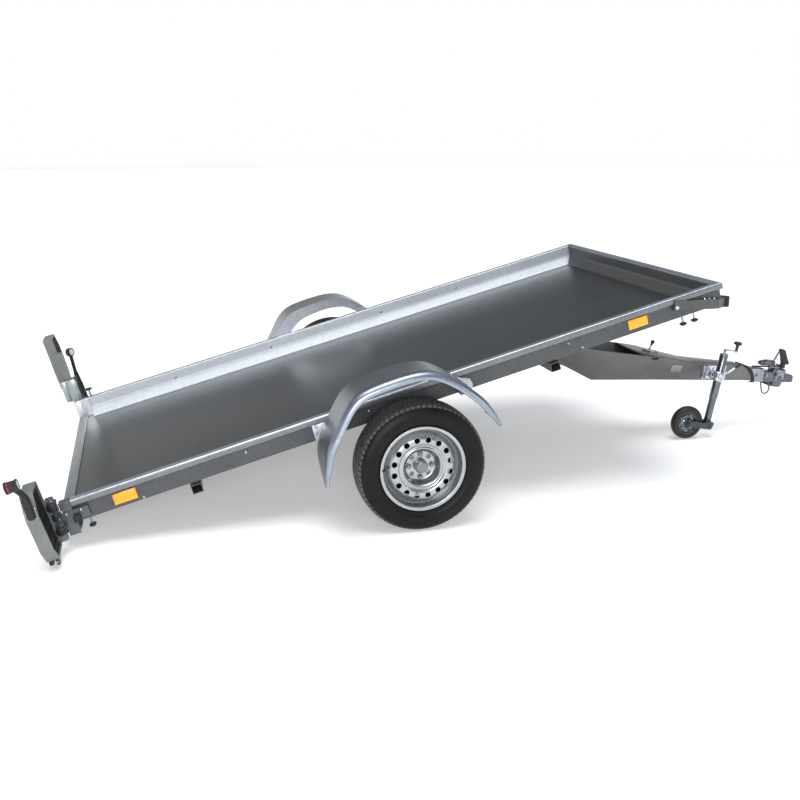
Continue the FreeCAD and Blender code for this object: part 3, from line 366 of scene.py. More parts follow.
# ------------------------------------------------------------------ mesh tools (millimetres in a piece's own axes)
MM = Matrix.Scale(0.001, 4)
MIRROR = Matrix.Diagonal((1, -1, 1, 1))


def merge(bm, part, mtx=None, mi=0):
    if mtx is not None:
        bmesh.ops.transform(part, matrix=mtx, verts=part.verts)
        if mtx.determinant() < 0:
            bmesh.ops.reverse_faces(part, faces=part.faces)
    for f in part.faces:
        f.material_index = mi
    tmp = bpy.data.meshes.new("tmp")
    part.to_mesh(tmp)
    part.free()
    bm.from_mesh(tmp)
    bpy.data.meshes.remove(tmp)


def piece(name, bm, place, body, mats, replaces=(), angle=32.0, both=False):
    """One mesh piece; both adds the same mirrored to the other side."""
    if both:
        other = bm.copy()
        bmesh.ops.transform(other, matrix=MIRROR, verts=other.verts)
        bmesh.ops.reverse_faces(other, faces=other.faces)
        tmp = bpy.data.meshes.new("tmp")
        other.to_mesh(tmp)
        other.free()
        bm.from_mesh(tmp)
        bpy.data.meshes.remove(tmp)
    me = bpy.data.meshes.new(name)
    bm.to_mesh(me)
    bm.free()
    me.transform(place @ MM)
    for m in mats:
        me.materials.append(MAT[m])
    me.polygons.foreach_set("use_smooth", [True] * len(me.polygons))
    me.set_sharp_from_angle(angle=math.radians(angle))
    ob = bpy.data.objects.new(name, me)
    scene.collection.objects.link(ob)
    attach(ob, body)
    if replaces:
        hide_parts(*replaces)
    return ob


def along(p0, p1):
    """Turns +Z from the origin into the line from p0 to p1."""
    p0, p1 = Vector(p0), Vector(p1)
    d = p1 - p0
    return Matrix.Translation(p0) @ d.to_track_quat("Z", "Y").to_matrix().to_4x4(), d.length


def block(bm, x0, x1, y0, y1, z0, z1, r=0.0, mi=0, mtx=None, seg=2):
    part = bmesh.new()
    bmesh.ops.create_cube(part, size=1.0)
    bmesh.ops.transform(part, matrix=Matrix.Translation(((x0 + x1) / 2, (y0 + y1) / 2, (z0 + z1) / 2)) @
                        Matrix.Diagonal((x1 - x0, y1 - y0, z1 - z0, 1)), verts=part.verts)
    if r:
        bmesh.ops.bevel(part, geom=list(part.edges), offset=r, segments=seg, affect="EDGES", profile=0.5)
    merge(bm, part, mtx, mi)


def lathe(bm, prof, seg=32, mi=0, mtx=None, closed=False):
    """(radius, height) points turned about +Z. Open profiles end on the axis or stay open."""
    part = bmesh.new()
    rings = []
    for r, h in prof:
        if r < 1e-6:
            rings.append([part.verts.new((0, 0, h))])
        else:
            rings.append([part.verts.new((r * math.cos(2 * math.pi * k / seg), r * math.sin(2 * math.pi * k / seg), h))
                          for k in range(seg)])
    pairs = list(zip(rings, rings[1:]))
    if closed:
        pairs.append((rings[-1], rings[0]))
    for a, c in pairs:
        for k in range(seg):
            k2 = (k + 1) % seg
            if len(a) == 1 and len(c) == 1:
                continue
            if len(a) == 1:
                part.faces.new((a[0], c[k2], c[k]))
            elif len(c) == 1:
                part.faces.new((a[k], a[k2], c[0]))
            else:
                part.faces.new((a[k], a[k2], c[k2], c[k]))
    bmesh.ops.recalc_face_normals(part, faces=part.faces)
    merge(bm, part, mtx, mi)


def rod(bm, p0, p1, r, r1=None, seg=20, c=0.6, mi=0, mtx=None):
    """A round bar with softened ends."""
    m, length = along(p0, p1)
    r1 = r if r1 is None else r1
    c = min(c, r * 0.5, length * 0.3)
    prof = [(0, 0), (r - c, 0), (r - c * 0.3, c * 0.3), (r, c), (r1, length - c), (r1 - c * 0.3, length - c * 0.3),
            (r1 - c, length), (0, length)]
    lathe(bm, prof, seg, mi, m if mtx is None else mtx @ m)


def ring(bm, p0, p1, r_out, r_in, seg=32, c=0.6, mi=0, mtx=None):
    m, length = along(p0, p1)
    prof = [(r_in, c), (r_in + c, 0), (r_out - c, 0), (r_out, c), (r_out, length - c), (r_out - c, length),
            (r_in + c, length), (r_in, length - c)]
    lathe(bm, prof, seg, mi, m if mtx is None else mtx @ m, closed=True)


def knob(bm, at, r, seg=20, squash=(1, 1, 1), mi=0, mtx=None):
    part = bmesh.new()
    bmesh.ops.create_uvsphere(part, u_segments=seg, v_segments=seg // 2, radius=r)
    m = Matrix.Translation(Vector(at)) @ Matrix.Diagonal(tuple(squash) + (1,))
    bmesh.ops.transform(part, matrix=m, verts=part.verts)
    merge(bm, part, mtx, mi)


def smooth_path(points, step=6, closed=False):
    """Catmull-Rom through the points."""
    pts = [Vector(p) for p in points]
    n = len(pts)
    out = []
    spans = n if closed else n - 1
    for i in range(spans):
        if closed:
            p0, p1, p2, p3 = pts[(i - 1) % n], pts[i], pts[(i + 1) % n], pts[(i + 2) % n]
        else:
            p1, p2 = pts[i], pts[i + 1]
            p0 = pts[i - 1] if i else p1 * 2 - p2
            p3 = pts[i + 2] if i + 2 < n else p2 * 2 - p1
        for k in range(step):
            s = k / step
            out.append(0.5 * ((2 * p1) + (p2 - p0) * s + (2 * p0 - 5 * p1 + 4 * p2 - p3) * s * s +
                              (3 * p1 - p0 - 3 * p2 + p3) * s ** 3))
    if not closed:
        out.append(pts[-1].copy())
    return out


def round_corners(points, radius, step=5):
    """A path of straight runs with each corner turned into an arc."""
    pts = [Vector(p) for p in points]
    radii = radius if isinstance(radius, (list, tuple)) else [radius] * len(pts)
    out = [pts[0]]
    for i in range(1, len(pts) - 1):
        a, b, c = pts[i - 1], pts[i], pts[i + 1]
        d0, d1 = (a - b).normalized(), (c - b).normalized()
        half = math.acos(max(-1.0, min(1.0, d0.dot(d1)))) / 2
        if half > math.pi / 2 - 1e-3 or radii[i] < 1e-6:
            out.append(b)
            continue
        t_len = min(radii[i] / math.tan(half), (a - b).length * 0.49, (c - b).length * 0.49)
        p, q = b + d0 * t_len, b + d1 * t_len
        for k in range(step + 1):
            s = k / step
            out.append((1 - s) ** 2 * p + 2 * s * (1 - s) * b + s * s * q)
    out.append(pts[-1])
    return out


def sweep(bm, path, section, mi=0, mtx=None, cap=True, up=(0, 0, 1), closed=False):
    """A closed section (x, y) carried along a path; up keeps it from twisting."""
    part = bmesh.new()
    path = [Vector(p) for p in path]
    n = len(path)
    rings = []
    up = Vector(up)
    for i, p in enumerate(path):
        a = path[i - 1] if i or closed else p
        c = path[(i + 1) % n] if i + 1 < n or closed else p
        d = (c - a).normalized()
        side = d.cross(up)
        if side.length < 1e-4:
            side = d.cross(Vector((1, 0, 0)))
        side.normalize()
        top = side.cross(d).normalized()
        rings.append([part.verts.new(p + side * x + top * y) for x, y in section])
    k = len(section)
    pairs = list(zip(rings, rings[1:])) + ([(rings[-1], rings[0])] if closed else [])
    for r0, r1 in pairs:
        for j in range(k):
            part.faces.new((r0[j], r0[(j + 1) % k], r1[(j + 1) % k], r1[j]))
    if cap and not closed:
        part.faces.new(rings[0][::-1])
        part.faces.new(rings[-1])
    bmesh.ops.recalc_face_normals(part, faces=part.faces)
    merge(bm, part, mtx, mi)


def circle(r, seg=12):
    return [(r * math.cos(2 * math.pi * k / seg), r * math.sin(2 * math.pi * k / seg)) for k in range(seg)]


def pipe(bm, points, r, seg=12, bend=0.0, mi=0, mtx=None, closed=False):
    sweep(bm, round_corners(points, bend) if bend else points, circle(r, seg), mi, mtx, closed=closed)


def prism(bm, outline, d0, d1, plane="XZ", r=0.0, mi=0, mtx=None, seg=2):
    """An outline pushed from d0 to d1 along the plane's normal, its rim rounded."""
    part = bmesh.new()

    def at(p, d):
        if plane == "XZ":
            return (p[0], d, p[1])
        if plane == "XY":
            return (p[0], p[1], d)
        return (d, p[0], p[1])

    lo = [part.verts.new(at(p, d0)) for p in outline]
    hi = [part.verts.new(at(p, d1)) for p in outline]
    n = len(outline)
    part.faces.new(lo)
    part.faces.new(hi[::-1])
    for k in range(n):
        part.faces.new((lo[k], hi[k], hi[(k + 1) % n], lo[(k + 1) % n]))
    bmesh.ops.recalc_face_normals(part, faces=part.faces)
    if r:
        rim = [e for e in part.edges if e.calc_face_angle(0.0) > 0.5]
        bmesh.ops.bevel(part, geom=rim, offset=r, segments=seg, affect="EDGES", profile=0.5)
    merge(bm, part, mtx, mi)


def bolt(bm, at, n, size=8.0, h=5.0, washer=True, mi=0, mtx=None, turn=0.0):
    """Hex head on a washer, facing n."""
    m, _ = along(at, Vector(at) + Vector(n))
    m = m if mtx is None else mtx @ m
    base = 0.0
    if washer:
        lathe(bm, [(0, 0), (size * 1.25, 0), (size * 1.28, 0.4), (size * 1.25, 1.4), (0, 1.5)], 24, mi, m)
        base = 1.4
    out = [(size * math.cos(math.radians(turn + 60 * k)), size * math.sin(math.radians(turn + 60 * k)))
           for k in range(6)]
    prism(bm, out, base, base + h, "XY", 0.5, mi, m)
    lathe(bm, [(0, base + h - 0.3), (size * 0.80, base + h - 0.3), (size * 0.70, base + h + 0.5), (0, base + h + 0.7)],
          24, mi, m)


def dome(bm, at, n, r=7.0, h=3.0, mi=0, mtx=None):
    """A carriage bolt's round head, facing n."""
    m, _ = along(at, Vector(at) + Vector(n))
    m = m if mtx is None else mtx @ m
    prof = [(0, 0), (r, 0), (r, 0.4)] + [(r * math.cos(a), 0.4 + h * math.sin(a)) for a in
                                         [math.radians(q) for q in (15, 32, 50, 68, 82)]] + [(0, 0.4 + h)]
    lathe(bm, prof, 20, mi, m)


def screw(bm, at, n, r=5.5, mi=0, mtx=None):
    """A countersunk head with a round recess, nearly flush."""
    m, _ = along(at, Vector(at) + Vector(n))
    m = m if mtx is None else mtx @ m
    lathe(bm, [(0, 0.0), (r, 0.0), (r * 0.96, 0.5), (r * 0.4, 0.7), (r * 0.32, -0.2), (0, -0.6)], 18, mi, m)


def soften(name, width, segments=2, limit=35.0):
    """Rounds a kept node's edges."""
    ob = NODES[name]
    w = ob.modifiers.new("weld", "WELD")
    w.merge_threshold = 0.00002
    m = ob.modifiers.new("edge", "BEVEL")
    m.width, m.segments = width, segments
    m.limit_method, m.angle_limit = "ANGLE", math.radians(limit)
    m.use_clamp_overlap = True
    m.harden_normals = True


# ------------------------------------------------------------------ rails
BED_FRONT, BED_REAR, HW = 1556.0, -1404.0, 790.0
rail_line = round_corners([(v, w, 0) for v, w in (
    (779, 193), (779, 257), (790, 263), (790, 290), (753, 290), (753, 234), (719, 192.6), (708, 192.6))],
    [0, 2.0, 5.0, 8.5, 7.0, 30.0, 9.0, 0], 7)


def thick(line, t):
    """The closed section of a sheet of thickness t, to the left of its line."""
    out = []
    for i, p in enumerate(line):
        a, c = line[max(i - 1, 0)], line[min(i + 1, len(line) - 1)]
        d = (c - a).normalized()
        out.append((p.x - d.y * t, p.y + d.x * t))
    return [(p.x, p.y) for p in line] + out[::-1]


RAIL = thick(rail_line, 2.0)


def run(bm, section, ends, flip=False):
    """Section points joined between two end positions given for each point."""
    part = bmesh.new()
    a = [part.verts.new(e[0]) for e in ends]
    c = [part.verts.new(e[1]) for e in ends]
    n = len(ends)
    for k in range(n):
        part.faces.new((a[k], a[(k + 1) % n], c[(k + 1) % n], c[k]))
    half = n // 2
    for q in (a, c):
        for k in range(half - 1):
            part.faces.new((q[k], q[k + 1], q[n - 2 - k], q[n - 1 - k]))
    bmesh.ops.recalc_face_normals(part, faces=part.faces)
    merge(bm, part)




def rail_faces(bm, out):
    """Skirt, lip and inner wall each take their own copy of the galvanising, darker or paler as painted shade and
    painted light; out gives a face's distance from the centre.
    """
    for f in bm.faces:
        c = f.calc_center_median()
        far = out(c)
        if far > 776.5 and c.z < 261.5:
            f.material_index = 0
        elif far < 754.5 and c.z < 287.0:
            f.material_index = 2
        elif far > 787.6 and c.z < 286.0:
            f.material_index = 3
        else:
            f.material_index = 1


bm = bmesh.new()
run(bm, RAIL, [((BED_REAR + 46, v, w), (BED_FRONT - (HW - v) - 0.4, v, w)) for v, w in RAIL])
rail_faces(bm, lambda c: c.y)
piece("side_rail_sheets", bm, BED, "bed", ["galv_skirt", "galv", "galv_inside", "galv_lip"], ["side_rails"], 40,
      both=True)
bm = bmesh.new()
run(bm, RAIL, [((v + BED_FRONT - HW, -v + 0.4, w), (v + BED_FRONT - HW, v - 0.4, w)) for v, w in RAIL])
rail_faces(bm, lambda c: c.x - BED_FRONT + HW)
piece("front_rail_sheet", bm, BED, "bed", ["galv_skirt", "galv", "galv_front", "galv_lip"], ["front_rail"], 40)

# ------------------------------------------------------------------ mudguards
guard_top = smooth_path([(u, 0, w) for u, w in (
    (-402, 66), (-388, 125), (-353, 211), (-303, 273), (-247, 338), (-205, 373), (-165, 392), (-115, 401), (-40, 405),
    (40, 404), (100, 396), (150, 379), (200, 343), (250, 293), (298, 234), (330, 183), (352, 125), (361, 76))], 4)


def mudguard(side):
    """A pressed guard: flat crown, rounded shoulder and turned-down edge with a bead."""
    bm = bmesh.new()
    n = len(guard_top)
    outer, inner = [], []
    shoulder = 25.0
    for i, p in enumerate(guard_top):
        a, c = guard_top[max(i - 1, 0)], guard_top[min(i + 1, n - 1)]
        d = (c - a).normalized()
        nrm = Vector((-d.z, 0, d.x))
        if nrm.dot(Vector((p.x, 0, p.z))) < 0:
            nrm = -nrm
        v_in = 797.0
        if p.x < 0 and p.z < 153.0:
            v_in = 797.0 + (153.0 - p.z) / (153.0 - 65.6) * 196.0
        tip = min(1.0, (i + 0.6) / 9.0, (n - 1 - i + 0.6) / 7.0)
        deep = 6.0 * tip
        sh = shoulder * (0.35 + 0.65 * tip)
        v_sh = 1000.0 - sh
        row = []
        for k in range(7):
            s = k / 6
            v = v_in + (v_sh - v_in) * s
            row.append((v, -0.8 * math.sin(math.pi * s)))
        for k in range(1, 8):
            q = math.pi / 2 * k / 7
            row.append((v_sh + sh * math.sin(q), -sh * (1 - math.cos(q))))
        row.append((1000.0, -sh - deep * 0.5))
        row.append((1000.0, -sh - deep))
        row.append((997.6, -sh - deep - 1.8))
        row = [(min(max(v, v_in), 1000.0), h) for v, h in row]
        outer.append([Vector((p.x, v, p.z)) + nrm * h for v, h in row])
    rows = [[bm.verts.new(q) for q in r] for r in outer]
    for r0, r1 in zip(rows, rows[1:]):
        for k in range(len(r0) - 1):
            bm.faces.new((r0[k], r1[k], r1[k + 1], r0[k + 1]))
    bmesh.ops.remove_doubles(bm, verts=bm.verts, dist=0.01)
    bmesh.ops.recalc_face_normals(bm, faces=bm.faces)
    up_face = max(bm.faces, key=lambda f: f.calc_center_median().z)
    if up_face.normal.z < 0:
        bmesh.ops.reverse_faces(bm, faces=bm.faces)
    bmesh.ops.solidify(bm, geom=list(bm.faces), thickness=1.8)
    # painted shade on the faces turned to the axle and inside the turned-down edge, painted reflection on the outer
    # shoulder and edge
    for f in bm.faces:
        c = f.calc_center_median()
        if f.normal.dot(Vector((c.x, 0, c.z)).normalized()) < -0.35 or (f.normal.y < -0.5 and c.y > 990):
            f.material_index = 1
        elif c.y > 978.0:
            f.material_index = 2
    # inner wall with its arch
    top = [(p.x, p.z - 1.4) for p in guard_top if p.z > 273.5]
    arch = smooth_path([(206, 0, 262.2), (197, 0, 283), (184, 0, 297.5), (161, 0, 316.5), (137, 0, 331), (115, 0, 340),
                        (70, 0, 349.5), (24, 0, 352.5), (-24, 0, 351), (-72, 0, 346.5), (-121, 0, 337), (-158, 0, 317),
                        (-190, 0, 292), (-216, 0, 262.2)], 4)
    left = [(top[0][0], 262.0)]
    band = top + [(top[-1][0] + 4, 262.0)] + [(p.x, p.z) for p in arch] + left
    prism(bm, band, 797.2, 799.0, "XZ", mi=3)
    piece("mudguard_sheet_" + side, bm, BED if side == "left" else BED @ MIRROR, "bed",
          ["galv_guard", "galv_under", "galv_rim", "galv"],
          ["mudguard_" + side], 42)


for side in ("left", "right"):
    mudguard(side)

# guard brackets and their bolts
bm = bmesh.new()
prism(bm, [(-368, 192), (-368, 268), (-356, 274), (-300, 262), (-298, 240), (-312, 192)], 783.0, 786.5, "XZ", 0.8)
prism(bm, [(277, 205), (277, 262), (330, 240), (338, 214), (334, 196)], 783.0, 786.5, "XZ", 0.8)
for u, w in ((-352, 253), (-361, 222), (-320, 240), (316, 220), (291, 213)):
    bolt(bm, (u, 786.5, w), (0, 1, 0), 6.5, 4.0, turn=u)
piece("guard_bracket_plates", bm, BED, "bed", ["galv"], (), both=True)

# ------------------------------------------------------------------ wheels
def tyre(side):
    c, R = 912.0, WHEEL_R * 1000
    bm = bmesh.new()
    half = smooth_path([(-56, 172, 0), (-60.5, 178, 0), (-63, 183, 0), (-67, 187, 0), (-73, 203, 0), (-77, 219, 0),
                        (-77.8, 229, 0), (-76, 241, 0), (-71, 253, 0), (-65, 260.5, 0), (-58, 264, 0), (-40, 266, 0),
                        (-18, 267, 0), (0, 267.2, 0)], 4)
    prof = [(p.y, p.x) for p in half]
    # thin rings moulded in the sidewall
    prof = [(r, h) for r, h in prof]
    extra = []
    for r, h in prof:
        d = 0.0
        for mid in (191.0, 207.5, 232.0):
            d += 1.5 * math.exp(-((r - mid) / 1.5) ** 2)
        extra.append((r, h - d))
    full = extra + [(r, -h) for r, h in extra[-2::-1]] + [(172.6, 50), (172.6, -50)]
    lathe(bm, full, 144, 0, Matrix.Translation((0, c, 0)) @ Matrix.Rotation(math.radians(-90), 4, "X"), closed=True)

    def surf(h):
        """Tread radius at a distance h from the tyre's middle."""
        a = abs(h)
        pts = [(0, R - 0.2), (18, R - 0.3), (40, R - 1.4), (54, R - 3.8), (62, R - 8.5), (68, R - 15.0), (72, R - 24.0)]
        for (x0, y0), (x1, y1) in zip(pts, pts[1:]):
            if a <= x1:
                return y0 + (y1 - y0) * (a - x0) / (x1 - x0)
        return pts[-1][1]

    def blocks(h0, h1, count, lean, gap, phase, sub=2):
        for k in range(count):
            part = bmesh.new()
            grid = []
            for i in range(sub + 1):
                h = h0 + (h1 - h0) * i / sub
                row = []
                for j in (0, 1, 2):
                    a = 2 * math.pi * (k + phase) / count + lean * (h - h0) / 40.0 * 2 * math.pi / count
                    a += 2 * math.pi / count * (1 - gap) * j / 2
                    for lift in (0.0, -8.0):
                        r = surf(h) + lift
                        row.append(part.verts.new((r * math.cos(a), c + h, r * math.sin(a))))
                grid.append(row)
            for i in range(sub):
                g0, g1 = grid[i], grid[i + 1]
                for j in (0, 2):
                    part.faces.new((g0[j], g0[j + 2], g1[j + 2], g1[j]))
                part.faces.new((g0[0], g1[0], g1[1], g0[1]))
                part.faces.new((g0[4], g0[5], g1[5], g1[4]))
            for g in (grid[0], grid[-1]):
                part.faces.new((g[0], g[1], g[3], g[2]))
                part.faces.new((g[2], g[3], g[5], g[4]))
            bmesh.ops.recalc_face_normals(part, faces=part.faces)
            merge_fast.append(part)

    merge_fast = []
    blocks(-9, 9, 96, 0.8, 0.16, 0.0, 1)
    blocks(13, 33, 80, 1.3, 0.20, 0.3)
    blocks(-33, -13, 80, 1.3, 0.20, 0.6)
    blocks(37, 56, 72, 0.9, 0.22, 0.1)
    blocks(-56, -37, 72, 0.9, 0.22, 0.5)
    blocks(57.2, 71, 72, 0.2, 0.30, 0.55, 3)
    blocks(-71, -57.2, 72, 0.2, 0.30, 0.95, 3)
    joined = bmesh.new()
    tmp = bpy.data.meshes.new("tmp")
    for part in merge_fast:
        part.to_mesh(tmp)
        joined.from_mesh(tmp)
        part.free()
    bpy.data.meshes.remove(tmp)
    merge(bm, joined)
    # fine ribs beside the rim
    ribs = bmesh.new()
    for s in (1, -1):
        for k in range(120):
            a = 2 * math.pi * k / 120
            m = Matrix.Rotation(-a, 4, "Y")
            block(ribs, 193.5, 203.5, c + s * 70.2 - 2.0, c + s * 70.2 + 2.0, -0.7, 0.7, 0, 0, m)
    merge(bm, ribs)
    for f in bm.faces:
        q = f.calc_center_median()
        if math.hypot(q.x, q.z) > 262.5 and abs(q.y - c) < 66.0:
            f.material_index = 1
    piece("tyre_rubber_" + side, bm, WHEEL if side == "left" else WHEEL @ MIRROR, "wheel_" + side, ["tyre", "tread"],
          ["tyre_" + side], 28)


def evaluated(ob):
    dg = bpy.context.evaluated_depsgraph_get()
    dg.update()
    return bpy.data.meshes.new_from_object(ob.evaluated_get(dg))


TURN_Y = Matrix.Rotation(math.radians(-90), 4, "X")


def rim(side):
    c = 912.0
    bm = bmesh.new()
    # barrel and flanges
    outer = round_corners([(h, r, 0) for h, r in (
        (-69.6, 175.0), (-69.6, 181.6), (-64.0, 181.6), (-62.6, 176.0), (-62.6, 170.5), (-46, 168.4), (-38, 171.6), (38, 171.6),
        (46, 168.4), (62.6, 170.5), (62.6, 176.0), (64.0, 181.6), (69.6, 181.6), (69.6, 175.0))],
        [0, 2.5, 2.0, 2.0, 3, 3, 3, 3, 3, 3, 2, 2, 2.5, 0], 4)
    back = round_corners([(h, r, 0) for h, r in (
        (67.4, 175.0), (66.4, 168.0), (60.0, 166.8), (46, 164.8), (30, 162.0), (22, 155.0), (-20, 155.0), (-30, 163.5), (-60.0, 166.8),
        (-66.4, 168.0), (-67.4, 175.0))], [0, 3, 2, 3, 5, 4, 4, 4, 2, 3, 0], 4)
    prof = [(p.y, p.x) for p in outer + back]
    lathe(bm, prof, 160, 0, Matrix.Translation((0, c, 0)) @ TURN_Y, closed=True)
    # disc, with its ring of round holes cut
    face = smooth_path([(h, r, 0) for r, h in (
        (163.5, 14.0), (158.0, 24.0), (150.0, 34.0), (140.0, 46.0), (131.0, 53.0), (122.0, 56.5), (112.0, 56.5), (103.0, 54.0),
        (96.0, 48.5), (90.5, 47.5), (86.0, 50.5), (81.0, 50.0), (76.0, 43.0), (71.0, 31.0), (66.0, 22.5), (60.0, 18.6),
        (48.0, 18.0), (36.0, 18.0), (28.6, 18.0))], 4)
    rear = [Vector((p.x - 3.4, p.y - (0.6 if p.y > 100 else 0.0), 0)) for p in face[::-1]]
    disc = bmesh.new()
    lathe(disc, [(p.y, p.x) for p in face + rear], 128, 0, Matrix.Translation((0, c, 0)) @ TURN_Y, closed=True)
    tools = bmesh.new()
    for k in range(16):
        a = 2 * math.pi * (k + 0.5) / 16
        x, z = 121 * math.cos(a), 121 * math.sin(a)
        rod(tools, (x, c + 30, z), (x, c + 75, z), 12.0, seg=24)
    for k in range(4):
        a = 2 * math.pi * (k + 0.5) / 4
        x, z = 50 * math.cos(a), 50 * math.sin(a)
        rod(tools, (x, c + 5, z), (x, c + 30, z), 5.6, seg=16)
    meshes = []
    for q, nm in ((disc, "disc_blank"), (tools, "disc_tools")):
        dm = bpy.data.meshes.new(nm)
        q.to_mesh(dm)
        q.free()
        ob = bpy.data.objects.new(nm, dm)
        scene.collection.objects.link(ob)
        meshes.append(ob)
    mod = meshes[0].modifiers.new("holes", "BOOLEAN")
    mod.operation, mod.solver, mod.object = "DIFFERENCE", "EXACT", meshes[1]
    done = evaluated(meshes[0])
    bm.from_mesh(done)
    for ob in meshes:
        d = ob.data
        bpy.data.objects.remove(ob)
        bpy.data.meshes.remove(d)
    # rolled collar round each hole, and the valve
    for k in range(16):
        a = 2 * math.pi * (k + 0.5) / 16
        x, z = 121 * math.cos(a), 121 * math.sin(a)
        part = bmesh.new()
        lathe(part, [(12.1, -1.2), (13.8, -0.6), (14.2, 0.2), (13.4, 0.8), (12.1, 0.5)], 24, 0,
              Matrix.Translation((x, c + 56.3, z)) @ TURN_Y, closed=True)
        merge(bm, part)
    # painted shade: the barrel's inside and the disc's rear faces take near-black
    for f in bm.faces:
        q = f.calc_center_median()
        r = math.hypot(q.x, q.z)
        if (q.y < c + 12.0 and r < 167.0) or (f.normal.y < -0.25 and r < 150.0):
            f.material_index = 1
    piece("rim_steel_" + side, bm, WHEEL if side == "left" else WHEEL @ MIRROR, "wheel_" + side, ["silver", "dark"],
          ["rim_" + side], 38)
    # a near-black plate behind the disc: painted shade seen through the holes
    bm = bmesh.new()
    lathe(bm, [(66.0, -52.0), (90.0, -54.0), (146.0, -54.0), (153.0, -50.0), (153.0, -47.6), (144.0, -51.2), (90.0, -51.2),
               (66.0, -49.4)], 96, 0, Matrix.Translation((0, c, 0)) @ TURN_Y, closed=True)
    piece("painted_shade_plate_" + side, bm, WHEEL if side == "left" else WHEEL @ MIRROR, "wheel_" + side, ["dark"], ())
    bm = bmesh.new()
    a = math.radians(178)
    m = Matrix.Rotation(-a, 4, "Y")
    rod(bm, (158, c + 40, 0), (168, c + 74, 0), 4.6, 3.6, 14, 0.8, 0, m)
    rod(bm, (168, c + 73, 0), (169.5, c + 77, 0), 3.9, 3.5, 14, 0.8, 0, m)
    piece("valve_" + side, bm, WHEEL if side == "left" else WHEEL @ MIRROR, "wheel_" + side, ["plastic"], ())


def hub(side):
    c = 912.0
    bm = bmesh.new()
    m = Matrix.Translation((0, c, 0)) @ TURN_Y
    drum = [(22, -12), (62, -30), (60, -70), (52, -77.6), (18.6, -77.6), (18.6, -12)]
    lathe(bm, [(18.6, -77.4), (51, -77.4), (54, -76), (60, -70), (61.6, -31), (65, -25), (65.6, -18), (65.6, 12), (64, 13.4),
               (28.2, 13.4), (28.2, 10), (18.6, 10)], 72, 0, m, closed=True)
    cap = round_corners([(h, r, 0) for r, h in ((28.0, 13.5), (28.0, 40.0), (25.5, 41.5), (25.5, 47.0), (21.0, 52.0),
                                                 (0.0, 53.6))], [0, 1.5, 1, 4, 6, 0], 4)
    lathe(bm, [(p.y, p.x) for p in cap], 48, 0, m)
    for k in range(4):
        a = 2 * math.pi * (k + 0.5) / 4
        x, z = 50 * math.cos(a), 50 * math.sin(a)
        lathe(bm, [(5.8, 0.0), (10.5, 0.0), (9.6, 2.6), (7.4, 3.4), (5.8, 2.8)], 24, 0,
              Matrix.Translation((x, c + 18.1, z)) @ TURN_Y, closed=True)
    for k in range(4):
        a = 2 * math.pi * k / 4
        x, z = 50 * math.cos(a), 50 * math.sin(a)
        lathe(bm, [(0, 0), (11.5, 0), (11.2, 2.4), (9.6, 4.0), (0, 4.2)], 24, 0, Matrix.Translation((x, c + 18.2, z)) @ TURN_Y)
        bolt(bm, (x, c + 21.0, z), (0, 1, 0), 9.4, 10.5, washer=False, turn=17 * k)
    piece("hub_steel_" + side, bm, WHEEL if side == "left" else WHEEL @ MIRROR, "wheel_" + side, ["hub"],
          ["hub_" + side], 34)


for side in ("left", "right"):
    tyre(side)
    rim(side)
    hub(side)

# ------------------------------------------------------------------ bed fasteners
bm = bmesh.new()
for u, w in ((-653, 242), (798, 244), (858, 206), (-120, 240), (-1090, 200)):
    dome(bm, (u, 779, w), (0, 1, 0), 6.5, 2.6)
for u, w in ((-334, 251), (-332, 222), (325, 251), (323, 222), (-1340, 222), (790, 252), (-884, 250)):
    dome(bm, (u, 753, w), (0, -1, 0), 6.5, 2.6)
piece("rail_bolts", bm, BED, "bed", ["zinc"], (), both=True)
bm = bmesh.new()
for v in (73, 18, -40):
    dome(bm, (1519.2, v, 222), (-1, 0, 0), 7.0, 3.0)
piece("front_bolts", bm, BED, "bed", ["zinc"], ())
bm = bmesh.new()
for u in (-1330, -860, -300, 240, 795, 1330):
    for v in (220, 600) if u != 795 else (6, 420):
        screw(bm, (u, v, 190.0), (0, 0, 1), 5.0)
        screw(bm, (u, -v - 20, 190.0), (0, 0, 1), 5.0)
for u in (-1330, -1080, -860, -600, -122, 82, 247, 520, 795, 1060, 1330):
    for s in (1, -1):
        screw(bm, (u, s * 713, 194.6), (0, 0, 1), 4.2)
piece("floor_screws", bm, BED, "bed", ["zinc"], ())

